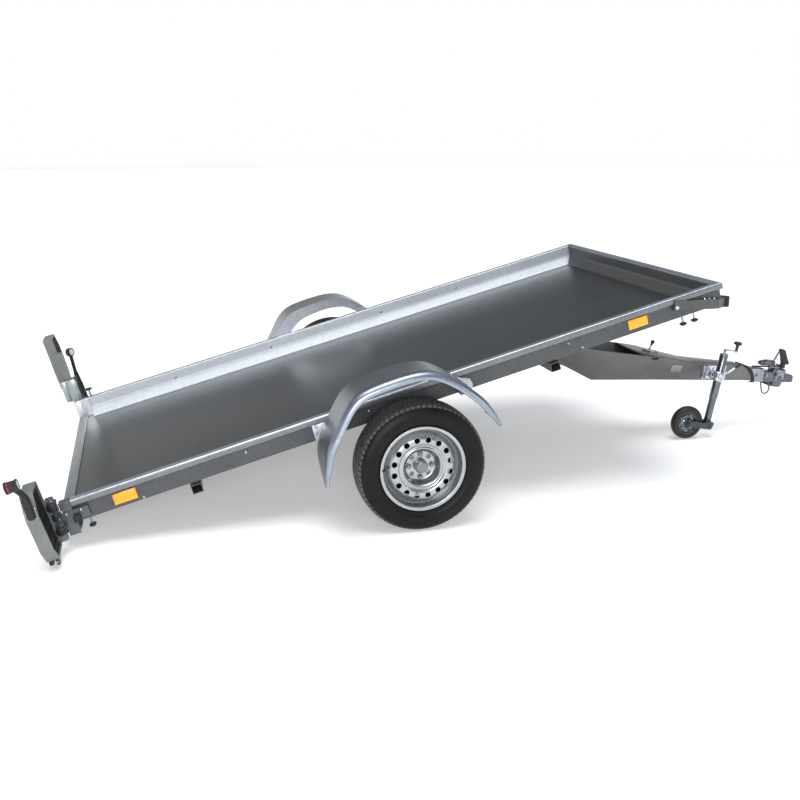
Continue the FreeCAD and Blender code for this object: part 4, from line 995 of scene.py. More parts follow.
# ------------------------------------------------------------------ lamps
def lamps(side):
    flip = side == "right"
    place = BED @ MIRROR if flip else BED
    top = 425.0 if flip else 640.0
    foot, y0, y1 = top - 280.0, 838.0, 1018.0
    mount = "lamp_mount_" + side
    # rear lamp: a black body with three lenses, and a triangle below the top edge
    bm = bmesh.new()
    block(bm, -1486.5, -1456.0, y0 + 16.4, y1 - 40.4, foot + 30.4, foot + 139.6, 2.0)
    w0, w1 = foot + 35.0, foot + 135.0
    for v0, v1, mi in ((y0 + 20.0, y0 + 48.0, 3), (y0 + 49.0, y0 + 92.0, 2), (y0 + 93.0, y0 + 137.0, 1)):
        block(bm, -1489.9, -1480.0, v0, v1, w0, w1, 1.6, mi, seg=3)
    tri = [(y0 + 22.0, top - 110.0), (y0 + 122.0, top - 110.0), (y0 + 72.0, top - 24.0)]
    prism(bm, [(a, c) for a, c in tri], -1488.3, -1484.5, "YZ", 0.8, 0)
    mid = ((tri[0][0] + tri[1][0] + tri[2][0]) / 3, (tri[0][1] + tri[1][1] + tri[2][1]) / 3)
    inner = [(mid[0] + (a - mid[0]) * 0.80, mid[1] + (c - mid[1]) * 0.80) for a, c in tri]
    prism(bm, inner, -1489.6, -1486.0, "YZ", 0.8, 2)
    piece("tail_lamp_lens_" + side, bm, place, mount, ["plastic", "amber", "red", "clear"], ["tail_lamp_" + side],
          35)
    # folded rims and rivets of the tray
    bm = bmesh.new()
    out = [(y0, top), (y0, foot), (y1 - 50.0, foot), (y1 - 12.0, foot + 55.0), (y1, top - 78.0), (y1 - 50.0, top)]
    cen = ((y0 + y1) / 2, (top + foot) / 2)
    for k in range(len(out)):
        a, c = Vector(out[k]), Vector(out[(k + 1) % len(out)])
        d = (c - a).normalized()
        nrm = Vector((-d.y, d.x))
        if nrm.dot(Vector(cen) - a) < 0:
            nrm = -nrm
        p = [a + d * 1.5 + nrm * 1.9, c - d * 1.5 + nrm * 1.9, c - d * 8.0 + nrm * 8.0, a + d * 8.0 + nrm * 8.0]
        prism(bm, [(q.x, q.y) for q in p], -1436.2, -1434.4, "YZ", 0.3)
    for v, w in ((y0 + 8, foot + 20), (y0 + 8, foot + 140), (y0 + 8, top - 20)):
        dome(bm, (-1484.0, v, w), (-1, 0, 0), 3.6, 1.6)
    piece("tray_rims_" + side, bm, place, mount, ["tray"], (), 30)
    # the lamp's moulded back, which fills the tray, with ribs and a terminal cover, in near-black as painted shade
    # inside the tray
    bm = bmesh.new()
    out = [(y0 + 3.0, top - 3.0), (y0 + 3.0, foot + 3.0), (y1 - 52.0, foot + 3.0), (y1 - 15.6, foot + 56.5),
           (y1 - 3.6, top - 79.6), (y1 - 52.0, top - 3.0)]
    prism(bm, out, -1481.6, -1444.0, "YZ", 1.5, 0)
    inn = [(cen[0] + (a - cen[0]) * 0.86, cen[1] + (c - cen[1]) * 0.93) for a, c in out]
    prism(bm, inn, -1445.0, -1440.5, "YZ", 2.0, 0)
    for k in range(4):
        w = foot + 40.0 + 50.0 * k
        block(bm, -1441.5, -1437.5, y0 + 24.0, y1 - 52.0, w, w + 6.0, 1.5)
    piece("lamp_housing_painted_shade_" + side, bm, place, mount, ["dark"], (), 34)


def ribbed(bm, p0, p1, r, n=14, mi=0):
    """A hand knob with scalloped grip."""
    m, length = along(p0, p1)
    part = []
    outline = []
    for k in range(n * 4):
        a = 2 * math.pi * k / (n * 4)
        rr = r * (1.0 + 0.075 * math.cos(n * a))
        outline.append((rr * math.cos(a), rr * math.sin(a)))
    prism(bm, outline, 0.0, length * 0.86, "XY", 1.2, mi, m)
    lathe(bm, [(0, length * 0.80), (r * 0.72, length * 0.80), (r * 0.66, length * 0.96), (r * 0.5, length),
               (0, length)], 28, mi, m)


def head_lamp(bm, at, r, length, mi_body=0, mi_front=1, mi_rear=2, turn=0.0):
    """A short drum along u with a ring, a clear lens to the front and a red one to the rear."""
    m = Matrix.Translation(Vector(at)) @ Matrix.Rotation(math.radians(turn), 4, "Z") @ Matrix.Rotation(math.radians(90), 4, "Y")
    h = length / 2
    prof = round_corners([(r * 0.80, -h + 2.0, 0), (r, -h + 2.0, 0), (r, -h + 9.0, 0), (r * 0.90, -h + 11.0, 0),
                          (r * 0.90, h - 11.0, 0), (r, h - 9.0, 0), (r, h - 2.0, 0), (r * 0.80, h - 2.0, 0)],
                         [0, 2.5, 2, 3, 3, 2, 2.5, 0], 4)
    lathe(bm, [(p.x, p.y) for p in prof], 36, mi_body, m)
    dome_prof = [(0.0, h - 0.2), (r * 0.3, h - 0.6), (r * 0.6, h - 1.8), (r * 0.80, h - 3.6), (r * 0.82, h - 6.0),
                 (0.0, h - 6.0)]
    lathe(bm, dome_prof, 32, mi_front, m)
    lathe(bm, [(a, -b) for a, b in dome_prof], 32, mi_rear, m)
    lathe(bm, [(r * 0.90, -h + 12.0), (r * 0.985, -h + 12.6), (r * 0.985, -h + 15.4), (r * 0.90, -h + 16.0)], 36, mi_rear, m)


lamps("left")
lamps("right")

# left marker on its stalk
bm = bmesh.new()
m, _ = along((-1410.0, 1038.0, 226.6), (-1410.0, 1040.0, 380.0))
prof = [(0, 0), (15.0, 0), (17.8, 2.0), (17.8, 12.0)]
for k in range(5):
    w = 16.0 + 15.0 * k
    prof += [(16.6, w), (18.0, w + 3.0), (18.0, w + 9.0), (16.6, w + 12.0)]
prof += [(16.0, 96.0), (14.0, 120.0), (12.2, 150.0), (11.0, 160.0), (0, 160.0)]
lathe(bm, prof, 28, 0, m)
pipe(bm, [(-1410.0, 1040.0, 372.0), (-1409.0, 1041.0, 400.0), (-1405.0, 1045.0, 450.0), (-1402.0, 1049.0, 484.0)], 9.5, 18, 30.0)
head_lamp(bm, (-1400.0, 1051.0, 500.0), 23.8, 29.0, turn=-34.0)
piece("marker_left_unit", bm, BED, "bed", ["rubber", "clear", "red"], ["marker_lamp_left"], 34)

# right marker on its tray's outer wall
bm = bmesh.new()
top = 425.0
block(bm, -1480.0, -1434.0, 1018.4, 1024.0, top - 84.0, top - 40.0, 1.5, 3)
bolt(bm, (-1462.0, 1024.0, top - 74.0), (0, 1, 0), 7.0, 6.0, mi=3)
m, _ = along((-1454.0, 1038.0, top - 72.0), (-1450.0, 1038.5, top + 18.0))
prof = [(0, -2.0), (13.0, -2.0), (16.8, 1.0), (16.8, 8.0)]
for k in range(5):
    w = 12.0 + 13.0 * k
    prof += [(15.6, w), (17.0, w + 2.5), (17.0, w + 8.0), (15.6, w + 10.5)]
prof += [(15.0, 78.0), (13.6, 92.0), (0, 92.0)]
lathe(bm, prof, 28, 0, m)
pipe(bm, [(-1450.0, 1038.0, top + 8.0), (-1452.0, 1041.0, top + 26.0), (-1460.0, 1048.0, top + 48.0),
          (-1469.0, 1053.0, top + 64.0)], 11.5, 18, 20.0)
head_lamp(bm, (-1472.2, 1053.0, top + 72.0), 23.6, 51.0)
piece("marker_right_unit", bm, BED @ MIRROR, "lamp_mount_right", ["rubber", "clear", "red", "zinc"],
      ["marker_lamp_right"], 34)

# clamp knobs and fittings at the two guides
bm = bmesh.new()
for w in (303.0, 199.0):
    rod(bm, (-1419.0, 823.0, w), (-1419.0, 830.0, w), 7.0, mi=1)
    ribbed(bm, (-1419.0, 828.0, w), (-1419.0, 852.0, w), 19.5, 14, 0)
    ring(bm, (-1419.0, 826.0, w), (-1419.0, 829.5, w), 21.0, 6.0, 32, 0.8, 1)
# the clamp plate takes the darker under-guard copy: painted shade
block(bm, -1441.0, -1404.0, 823.2, 829.0, 238.0, 280.0, 2.0, 2)
block(bm, -1436.0, -1409.0, 828.0, 836.0, 246.0, 272.0, 3.0, 0)
bolt(bm, (-1432.0, 829.0, 275.0), (0, 1, 0), 5.0, 3.4, False, 1)
bolt(bm, (-1411.0, 829.0, 243.0), (0, 1, 0), 5.0, 3.4, False, 1)
dome(bm, (-1388.0, 795.5, 240.0), (0, 1, 0), 6.5, 3.0, 1)
dome(bm, (-1330.0, 795.5, 240.0), (0, 1, 0), 6.5, 3.0, 1)
# star knob on its screw, beside the guide
rod(bm, (-1352.0, 795.5, 215.0), (-1352.0, 806.0, 215.0), 6.0, mi=1)
for k in range(4):
    a = math.radians(45 + 90 * k)
    knob(bm, (-1352.0 + 12.0 * math.cos(a), 812.0, 215.0 + 12.0 * math.sin(a)), 7.0, 12, (1.0, 1.0, 1.0))
lathe(bm, [(0, 0), (11.0, 0), (14.0, 3.0), (14.0, 9.0), (11.0, 12.0), (0, 12.0)], 20, 0,
      along((-1352.0, 805.0, 215.0), (-1352.0, 817.0, 215.0))[0])
rod(bm, (-1412.0, 829.0, 284.0), (-1392.0, 842.0, 274.0), 3.6, mi=1)
knob(bm, (-1391.0, 843.0, 273.0), 6.5, 14, mi=1)
piece("guide_fittings_right", bm, BED @ MIRROR, "bed", ["plastic", "zinc", "galv_under"], (), 34)
bm = bmesh.new()
for w in (400.0, 296.0):
    rod(bm, (-1406.0, 804.0, w), (-1399.0, 804.0, w), 5.0, mi=1)
    ribbed(bm, (-1400.0, 804.0, w), (-1384.0, 804.0, w), 13.5, 16, 0)
dome(bm, (-1388.0, 795.5, 236.0), (0, 1, 0), 6.5, 3.0, 1)
dome(bm, (-1330.0, 795.5, 238.0), (0, 1, 0), 6.5, 3.0, 1)
# folded flanges on the bed side of the left guide, in the guide zinc's painted light
block(bm, -1470.6, -1443.0, 772.0, 778.9, 293.0, 406.0, 2.0, 2)
block(bm, -1430.0, -1391.4, 770.0, 778.9, 292.0, 407.0, 2.5, 2)
block(bm, -1470.6, -1391.4, 774.0, 779.5, 397.0, 407.6, 1.5, 2)
dome(bm, (-1462.0, 772.0, 392.0), (0, -1, 0), 4.0, 1.8, 1)
dome(bm, (-1400.0, 770.0, 300.0), (0, -1, 0), 4.0, 1.8, 1)
# star knob on the top screw
for k in range(4):
    a = math.radians(45 + 90 * k)
    knob(bm, (-1342.0 + 12.0 * math.cos(a), 772.0 + 12.0 * math.sin(a), 331.0), 7.0, 12, (1.0, 1.0, 0.9))
lathe(bm, [(0, 0), (10.0, 0), (12.5, 3.0), (12.5, 8.0), (10.0, 11.0), (0, 11.0)], 20, 0, Matrix.Translation((-1342.0, 772.0, 326.0)))
piece("guide_fittings_left", bm, BED, "bed", ["plastic", "zinc", "galv_guide"], (), 34)
# dark lug under the right tray
bm = bmesh.new()
block(bm, -1480.0, -1464.0, 930.0, 960.0, 122.0, 144.8, 2.5, 0)
block(bm, -1454.0, -1442.0, 930.0, 960.0, 116.0, 144.8, 2.5, 0)
bolt(bm, (-1448.0, 960.0, 130.0), (0, 1, 0), 5.0, 4.0, False, 1)
rod(bm, (-1466.0, 945.0, 134.0), (-1450.0, 945.0, 134.0), 4.0, mi=1)
piece("tray_foot_right", bm, BED @ MIRROR, "lamp_mount_right", ["plastic", "zinc"], (), 34)

# side reflectors
bm = bmesh.new()
for u0, u1, w0, w1 in ((-1204.0, -1110.0, 207.0, 254.0), (1084.0, 1178.0, 212.0, 256.0)):
    block(bm, u0, u1, 779.6, 784.0, w0, w1, 1.6, 1)
    block(bm, u0 + 2.0, u1 - 2.0, 781.0, 787.4, w0 + 2.0, w1 - 2.0, 2.4, 0, seg=3)
    for k in range(1, 6):
        u = u0 + (u1 - u0) * k / 6
        block(bm, u - 0.7, u + 0.7, 786.6, 788.3, w0 + 7.0, w1 - 7.0, 0.3, 0, seg=1)
    for u in (u0 + 9.0, u1 - 9.0):
        screw(bm, (u, 787.2, (w0 + w1) / 2), (0, 1, 0), 3.4, 2)
piece("side_reflectors", bm, BED, "bed", ["amber", "amber", "zinc"], ["side_markers"], 34, both=True)

# arm bolts
bm = bmesh.new()
lean = Matrix.Translation((1398.0, 0, 226.0)) @ Matrix.Rotation(TILT, 4, "Y")
bolt(bm, (-82.0, 799.0, -1.0), (0, 1, 0), 6.4, 4.5, mtx=lean)
bolt(bm, (55.0, 790.0, 29.6), (0, 0, 1), 6.0, 4.0, mtx=lean, turn=20)
bolt(bm, (78.0, 789.0, 29.6), (0, 0, 1), 5.0, 3.5, mtx=lean, turn=8)
bolt(bm, (104.0, 789.0, 29.6), (0, 0, 1), 5.0, 3.5, mtx=lean, turn=30)
piece("arm_bolts", bm, BED, "bed", ["zinc_bright_painted_highlight"], (), both=True)
bm = bmesh.new()
for u, w in ((1352.0, 154.0), (1409.0, 154.0), (-1312.0, 156.0)):
    for k in range(4):
        a = math.radians(45 + 90 * k)
        knob(bm, (u + 11.0 * math.cos(a), 765.0 + 11.0 * math.sin(a), w), 6.0, 12, (1.0, 1.0, 0.9))
    lathe(bm, [(0, -7.0), (9.0, -7.0), (11.5, -4.0), (11.5, 4.0), (9.0, 7.0), (0, 7.0)], 20, 0,
          Matrix.Translation((u, 765.0, w)))
piece("star_knobs", bm, BED, "bed", ["plastic"], (), 40, both=True)

# ------------------------------------------------------------------ drawbar
H1 = 40.0
ROWS = [(-24.0, 176.0, 0.4527), (443.0, 176.0, 0.4527), (760.0, 176.0, 0.703), (1000.0, 96.0, 0.331), (1200.0, 58.0, 0.119),
        (1455.0, H1, 0.0)]


def bar_half(d, e):
    """Half width of the bar at d, e."""
    tops = [(-30.0, 179.4, 70.7), (443.0, 198.7, 90.1), (760.0, 231.5, 62.9), (1000.0, 133.0, 53.7),
            (1200.0, 75.0, 46.5), (1470.0, H1, H1)]
    for (d0, a0, b0), (d1, a1, b1) in zip(tops, tops[1:]):
        if d <= d1:
            s = max(0.0, (d - d0) / (d1 - d0))
            a, b = a0 + (a1 - a0) * s, b0 + (b1 - b0) * s
            return b + (a - b) * (e + 210.0) / 240.0
    return H1


TOP_E = [(-24, 8), (-8, 22), (30, 22), (300, -6), (535, -29), (807, -53), (1037, -90.5), (1362, -106.5), (1392, -114),
         (1427, -136), (1446, -164), (1455, -196)]
LOW_E = [(-24, -12), (-8, -26), (20, -34), (276, -123), (443, -197), (1455, -197)]


def line_at(pts, d):
    for (x0, y0), (x1, y1) in zip(pts, pts[1:]):
        if d <= x1:
            return y0 + (y1 - y0) * (d - x0) / (x1 - x0)
    return pts[-1][1]


def drawbar():
    """Pressed side plates with rounded folds, closed below and over the front part of the top."""
    bm = bmesh.new()
    stations = sorted(set([-24, -16, -8, 8, 20, 30, 120, 200, 276, 300, 360, 420, 443, 470, 535, 600, 650, 700, 745, 760,
                           775, 807, 860, 920, 985, 1000, 1015, 1037, 1100, 1180, 1200, 1220, 1290, 1340, 1362, 1378, 1392,
                           1405, 1416, 1427, 1437, 1446, 1451, 1455]))
    grid = []
    for d in stations:
        te, le = line_at(TOP_E, d), line_at(LOW_E, d)
        tall = te - le
        r = min(9.0, tall * 0.3)
        row = []
        # bottom centre to top centre on the near side
        for v, e in ((0.0, le), (bar_half(d, le) - r, le), (bar_half(d, le) - r * 0.3, le + r * 0.3),
                     (bar_half(d, le + r), le + r), (bar_half(d, te - r), te - r),
                     (bar_half(d, te) - r * 0.3, te - r * 0.3), (bar_half(d, te) - r, te), (0.0, te)):
            row.append((v, e))
        full = [(-v, e) for v, e in row] + [(v, e) for v, e in row[-2:0:-1]]
        grid.append([bm.verts.new((d, v, e)) for v, e in full])
    n = len(grid[0])
    for i, (r0, r1) in enumerate(zip(grid, grid[1:])):
        open_top = stations[i] < 700
        for k in range(n):
            if open_top and k in (6, 7):
                continue
            bm.faces.new((r0[k], r0[(k + 1) % n], r1[(k + 1) % n], r1[k]))
    bmesh.ops.remove_doubles(bm, verts=bm.verts, dist=0.01)
    bmesh.ops.recalc_face_normals(bm, faces=bm.faces)
    low = min(bm.faces, key=lambda f: f.calc_center_median().z)
    if low.normal.z > 0:
        bmesh.ops.reverse_faces(bm, faces=bm.faces)
    bmesh.ops.solidify(bm, geom=list(bm.faces), thickness=2.8)
    # latch slot rim and the turned rear edge of the top plate
    e7 = line_at(TOP_E, 700)
    block(bm, 696.0, 708.0, -bar_half(700, e7) + 9, bar_half(700, e7) - 9, e7 - 12.0, e7 + 0.6, 1.5)
    ob = piece("drawbar_shell", bm, BAR, "drawbar", ["galv_bar"], ["drawbar_beam"], 28)
    return ob


drawbar()
bm = bmesh.new()


def on_side(d, e, lift=0.0):
    """A frame on the bar's near side plate: x forward, y up the plate, z outward."""
    p = Vector((d, -bar_half(d, e), e))
    px = Vector((d + 10, -bar_half(d + 10, e), e)) - p
    pz = Vector((d, -bar_half(d, e + 10), e + 10)) - p
    px.normalize()
    nrm = px.cross(pz).normalized()
    if nrm.y > 0:
        nrm = -nrm
    pz = nrm.cross(px).normalized()
    if pz.z < 0:
        pz = -pz
    m = Matrix((px, pz, nrm)).transposed().to_4x4()
    return Matrix.Translation(p + nrm * lift) @ m


m = on_side(930.0, -123.0)
block(bm, -37.0, 37.0, -21.0, 21.0, 0.0, 1.4, 0.5, 0, m)
for x, y in ((-32, -16), (32, -16), (-32, 16), (32, 16)):
    dome(bm, (x, y, 1.3), (0, 0, 1), 2.2, 0.9, 1, m)
piece("blank_plate", bm, BAR, "drawbar", ["plate", "zinc"], ())

bm = bmesh.new()
# latch: base, dark slot, lever and knob
e8 = line_at(TOP_E, 815)
pitch = Matrix.Translation((815.0, 0.0, e8)) @ Matrix.Rotation(math.radians(9.3), 4, "Y")
block(bm, -46.0, 46.0, -15.0, 15.0, 0.4, 5.0, 1.2, 0, pitch)
for x in (-36, 36):
    bolt(bm, (x, 0, 5.0), (0, 0, 1), 5.5, 4.0, mtx=pitch)
rod(bm, (806.0, 0, e8 + 3.0), (821.0, 0, -10.0), 5.2, 4.6)
piece("latch_base", bm, BAR, "drawbar", ["zinc"], ["latch_lever"])
bm = bmesh.new()
knob(bm, (823.5, 0, -2.0), 10.8, 18, (1.0, 1.0, 0.95))
rod(bm, (816.5, 0, -20.0), (821.5, 0, -9.0), 6.4, 7.4)
piece("latch_knob", bm, BAR, "drawbar", ["plastic"], ())
bm = bmesh.new()
# a flat near-black slot shape on the near side plate: painted shade for the slot's opening
m = on_side(752.0, -58.0)
slot_pts = [(x, y) for x, y in [(-16 + 6 * math.cos(math.radians(q)), 6 * math.sin(math.radians(q))) for q in
                                 range(90, 271, 20)] + [(16 + 6 * math.cos(math.radians(q)), 6 * math.sin(math.radians(q)))
                                                        for q in range(-90, 91, 20)]]
prism(bm, slot_pts, 0.05, 0.5, "XY", 0.0, 0, m)
piece("side_slot_painted_shade", bm, BAR, "drawbar", ["dark"], ())
bm = bmesh.new()
# zinc clamp plate on the bar's side, with its bolts
m = on_side(1172.0, -148.0)
block(bm, -58.0, 92.0, -38.0, 38.0, 0.0, 4.0, 1.5, 0, m)
block(bm, -50.0, -22.0, -34.0, 34.0, 3.0, 16.0, 4.0, 0, m)
for x, y in ((-36, -22), (-36, 22), (10, -22), (10, 22)):
    bolt(bm, (x, y, 16.0 if x < 0 else 4.0), (0, 0, 1), 8.0, 6.0, mtx=m, turn=x + y)
piece("drawbar_bolts", bm, BAR, "drawbar", ["zinc_bright_painted_highlight"], ())

# hinge pin ends
bm = bmesh.new()
for s in (1, -1):
    rod(bm, (0, s * 150.0, 0), (0, s * 193.0, 0), 10.0)
    lathe(bm, [(0, 0), (15.0, 0), (16.0, 1.0), (16.0, 4.5), (14.5, 6.0), (0, 6.0)], 28, 0, along((0, s * 193.4, 0), (0, s * 199.4, 0))[0])
rod(bm, (0, -186.0, 0), (0, 186.0, 0), 10.0)
piece("hinge_pin_bar", bm, BAR, "drawbar", ["zinc"], ["hinge_pin"])

# nose band: side flaps that follow the bar, joined over its top
bm = bmesh.new()
out_line = smooth_path([(1388.0, -107.2, 0), (1408.0, -113.5, 0), (1433.0, -131.5, 0), (1453.0, -162.0, 0),
                        (1462.5, -192.0, 0), (1462.0, -205.0, 0)], 5)
in_line = smooth_path([(1386.0, -116.5, 0), (1402.0, -125.0, 0), (1420.0, -142.0, 0), (1439.0, -168.0, 0),
                       (1444.0, -194.0, 0), (1414.0, -205.0, 0)], 5)
grid = []
for p, q in zip(out_line, in_line):
    row = []
    for x, e in ((p.x, p.y), ((p.x + q.x) / 2, (p.y + q.y) / 2), (q.x, q.y)):
        row.append((x, -(bar_half(x, e) + 4.0), e))
    for x, e in ((q.x, q.y), (p.x, p.y)):
        row.append((x, -(bar_half(x, e) + 0.6), e))
    grid.append(row)
for s in (1, -1):
    part = bmesh.new()
    rows = [[part.verts.new((x, s * v, e)) for x, v, e in row] for row in grid]
    for r0, r1 in zip(rows, rows[1:]):
        for k in range(5):
            part.faces.new((r0[k], r0[(k + 1) % 5], r1[(k + 1) % 5], r1[k]))
    part.faces.new(rows[0])
    part.faces.new(rows[-1][::-1])
    bmesh.ops.recalc_face_normals(part, faces=part.faces)
    merge(bm, part)
part = bmesh.new()
rows = []
for p, q in list(zip(out_line, in_line))[:13]:
    d = Vector((q.x - p.x, q.y - p.y)).normalized() * 2.6
    hw = bar_half(p.x, p.y) + 3.4
    rows.append([part.verts.new(c) for c in ((p.x, -hw, p.y), (p.x, hw, p.y), (p.x + d.x, hw, p.y + d.y),
                                             (p.x + d.x, -hw, p.y + d.y))])
for r0, r1 in zip(rows, rows[1:]):
    for k in range(4):
        part.faces.new((r0[k], r0[(k + 1) % 4], r1[(k + 1) % 4], r1[k]))
part.faces.new(rows[0])
part.faces.new(rows[-1][::-1])
bmesh.ops.recalc_face_normals(part, faces=part.faces)
merge(bm, part)
piece("nose_band", bm, BAR, "drawbar", ["rubber"], ["drawbar_collar"], 36)

# ------------------------------------------------------------------ coupling
B0 = (1630.0, 0.0, -208.0)
bm = bmesh.new()
block(bm, 1386.0, 1529.0, -30.8, 30.8, -192.8, -128.3, 6.0, 0, seg=3)
block(bm, 1467.0, 1530.0, -32.8, 32.8, -204.8, -128.2, 6.0, 0, seg=3)
# pressed body: a tapered box with a rounded back
for w0, w1, e0, e1, d0, d1 in ((30.0, 30.0, -206.6, -144.0, 1505.0, 1600.0),):
    block(bm, d0, d1, -w0, w0, e0, e1, 8.0, 1, seg=3)
prism(bm, [(1588.0, -142.5), (1606.0, -131.0), (1666.0, -129.5), (1680.0, -160.0), (1688.0, -206.6), (1588.0, -206.6)],
      -29.0, 29.0, "XZ", 5.0, 1, seg=3)
prof = [(26.0, -24.6), (29.5, -24.4), (33.0, -21.0), (37.0, -10.0), (39.6, 4.0), (39.8, 12.0), (39.0, 30.0), (36.0, 44.0), (28.0, 56.0), (16.0, 63.0),
        (0.0, 66.0)]
sp = smooth_path([(a, b, 0) for a, b in prof[1:]], 3)
lathe(bm, [(25.6, -25.0)] + [(p.x, p.y) for p in sp], 56, 1, Matrix.Translation(B0))
# the bore lined in near-black: painted shade inside the cup
bore = [(25.6, -25.0), (25.5, 6.0)] + [(25.4 * math.cos(math.radians(q)), 7.0 + 25.4 * math.sin(math.radians(q))) for q in
                                        (15, 30, 45, 60, 75, 88)] + [(0.0, 32.4)]
lathe(bm, bore, 56, 2, Matrix.Translation(B0))
# ribs and boss on the cup, and its cross bolt
for k in (-1, 1):
    block(bm, 1604.0, 1656.0, k * 33.0 - 3.0, k * 33.0 + 3.0, -188.0, -136.0, 2.5, 0, seg=2)
rod(bm, (1614.0, -44.0, -160.0), (1614.0, 44.0, -160.0), 8.0, mi=0)
bolt(bm, (1614.0, -38.0, -160.0), (0, -1, 0), 9.0, 6.0, True, 0)
bolt(bm, (1614.0, 38.0, -160.0), (0, 1, 0), 9.0, 6.0, True, 0)
rod(bm, (1656.0, -36.0, -148.0), (1656.0, 36.0, -148.0), 6.0, mi=0)
bolt(bm, (1656.0, -31.0, -148.0), (0, -1, 0), 7.0, 5.0, True, 0)
bolt(bm, (1656.0, 31.0, -148.0), (0, 1, 0), 7.0, 5.0, True, 0)
for d in (1484.0, 1545.0):
    rod(bm, (d, -36.0, -166.0), (d, 36.0, -166.0), 7.0, mi=0)
    bolt(bm, (d, -32.0, -166.0), (0, -1, 0), 8.5, 6.0, True, 0, turn=d)
    bolt(bm, (d, 32.0, -166.0), (0, 1, 0), 8.5, 6.0, True, 0, turn=d)
prism(bm, [(1512.0, -206.8), (1560.0, -206.8), (1590.0, -232.0), (1596.0, -236.0), (1600.0, -206.8)], -14.0, 14.0, "XZ", 3.0, 1)
piece("coupling_body", bm, BAR, "drawbar", ["zinc", "zinc_worn", "dark"], ["coupling_head"], 36)
bm = bmesh.new()
prism(bm, [(1680.0, -163.0), (1722.0, -163.0), (1731.5, -172.0), (1733.5, -200.0), (1726.0, -206.8), (1680.0, -206.8)],
      -20.6, 20.6, "XZ", 4.0, 0, seg=3)
for d in (1694.0, 1706.0, 1718.0):
    block(bm, d - 2.0, d + 2.0, -21.0, 21.0, -203.0, -166.0, 1.2)
piece("coupling_nose", bm, BAR, "drawbar", ["zinc_worn"], (), 36)

bm = bmesh.new()
grip = smooth_path([(1626.5, -23.5, 0), (1642.0, -20.8, 0), (1657.5, -26.0, 0), (1672.0, -54.0, 0), (1686.0, -82.0, 0), (1696.5, -104.0, 0),
                    (1676.0, -107.0, 0), (1655.5, -105.5, 0), (1646.0, -80.0, 0), (1636.0, -50.0, 0)], 4, True)
prism(bm, [(p.x, p.y) for p in grip], -12.8, 12.8, "XZ", 4.5, 0, seg=3)
for k in range(6):
    s = k / 5
    a = Vector((1650.0 + 26.0 * s, 0, -42.0 - 44.0 * s))
    block(bm, a.x - 14.0 + 2 * s, a.x + 6.0 + 8 * s, -13.4, 13.4, a.z - 2.0, a.z + 2.0, 1.2)
block(bm, 1649.0, 1675.0, -9.6, 9.6, -129.0, -101.0, 3.0)
rod(bm, (1632.0, -14.0, -112.0), (1632.0, 14.0, -112.0), 5.0)
pipe(bm, [(1466.0, 0, -122.4), (1540.0, 0, -122.0), (1600.0, 0, -120.6), (1656.0, 0, -119.6)], 4.4, 14)
piece("handle_grip", bm, BAR, "drawbar", ["plastic"], ["coupling_handle"], 36)
bm = bmesh.new()
prism(bm, [(1510.0, -113.0), (1508.0, -98.0), (1523.0, -89.5), (1601.0, -87.5), (1604.0, -113.0)], -19.6, 19.6, "XZ", 5.0, 0, seg=3)
block(bm, 1540.0, 1590.0, -15.0, 15.0, -90.0, -84.0, 2.2)
bolt(bm, (1526.0, -19.6, -102.0), (0, -1, 0), 7.0, 4.0)
bolt(bm, (1584.0, -19.6, -102.0), (0, -1, 0), 7.0, 4.0)
bolt(bm, (1526.0, 19.6, -102.0), (0, 1, 0), 7.0, 4.0)
bolt(bm, (1584.0, 19.6, -102.0), (0, 1, 0), 7.0, 4.0)
pipe(bm, [(1597.0, 0, -92.0), (1606.0, 0, -76.0), (1622.0, 0, -42.0), (1632.0, 0, -25.0)], 4.8, 14, 14.0)
block(bm, 1574.0, 1600.0, -6.0, 6.0, -146.0, -116.0, 2.0)
piece("handle_block", bm, BAR, "drawbar", ["zinc_worn"], (), 36)
bm = bmesh.new()
wire = smooth_path([(1525.0, -18.0, -203.0), (1531.0, -18.0, -226.0), (1543.0, -18.0, -262.0), (1562.0, -18.0, -273.0),
                    (1580.0, -18.0, -266.0), (1587.5, -18.0, -241.0), (1577.0, -18.0, -221.0), (1557.0, -18.0, -204.0)], 5)
sweep(bm, wire, circle(3.7, 12), up=(0, 1, 0))
piece("loop_wire", bm, BAR, "drawbar", ["zinc_dark"], ["safety_loop"], 60)

# ------------------------------------------------------------------ jockey wheel
bm = bmesh.new()
lathe(bm, [(20.0, 150.2), (21.9, 150.2), (22.0, 151.0), (22.0, 386.6), (21.4, 388.0), (20.0, 388.0)], 48, 0, closed=True)
ring(bm, (0, 0, 376.0), (0, 0, 387.8), 22.6, 21.5, 48, 0.8)
piece("jockey_tube", bm, TUBE, "drawbar", ["zinc_tube"], ["jockey_outer_tube"], 32)
bm = bmesh.new()
lathe(bm, [(16.5, 27.4), (18.8, 27.4), (19.2, 28.4), (19.2, 288.6), (16.5, 288.6)], 48, 0, closed=True)
piece("jockey_tube_lower", bm, TUBE, "jockey_column", ["zinc_tube"], ["jockey_inner_tube"], 32)

bm = bmesh.new()
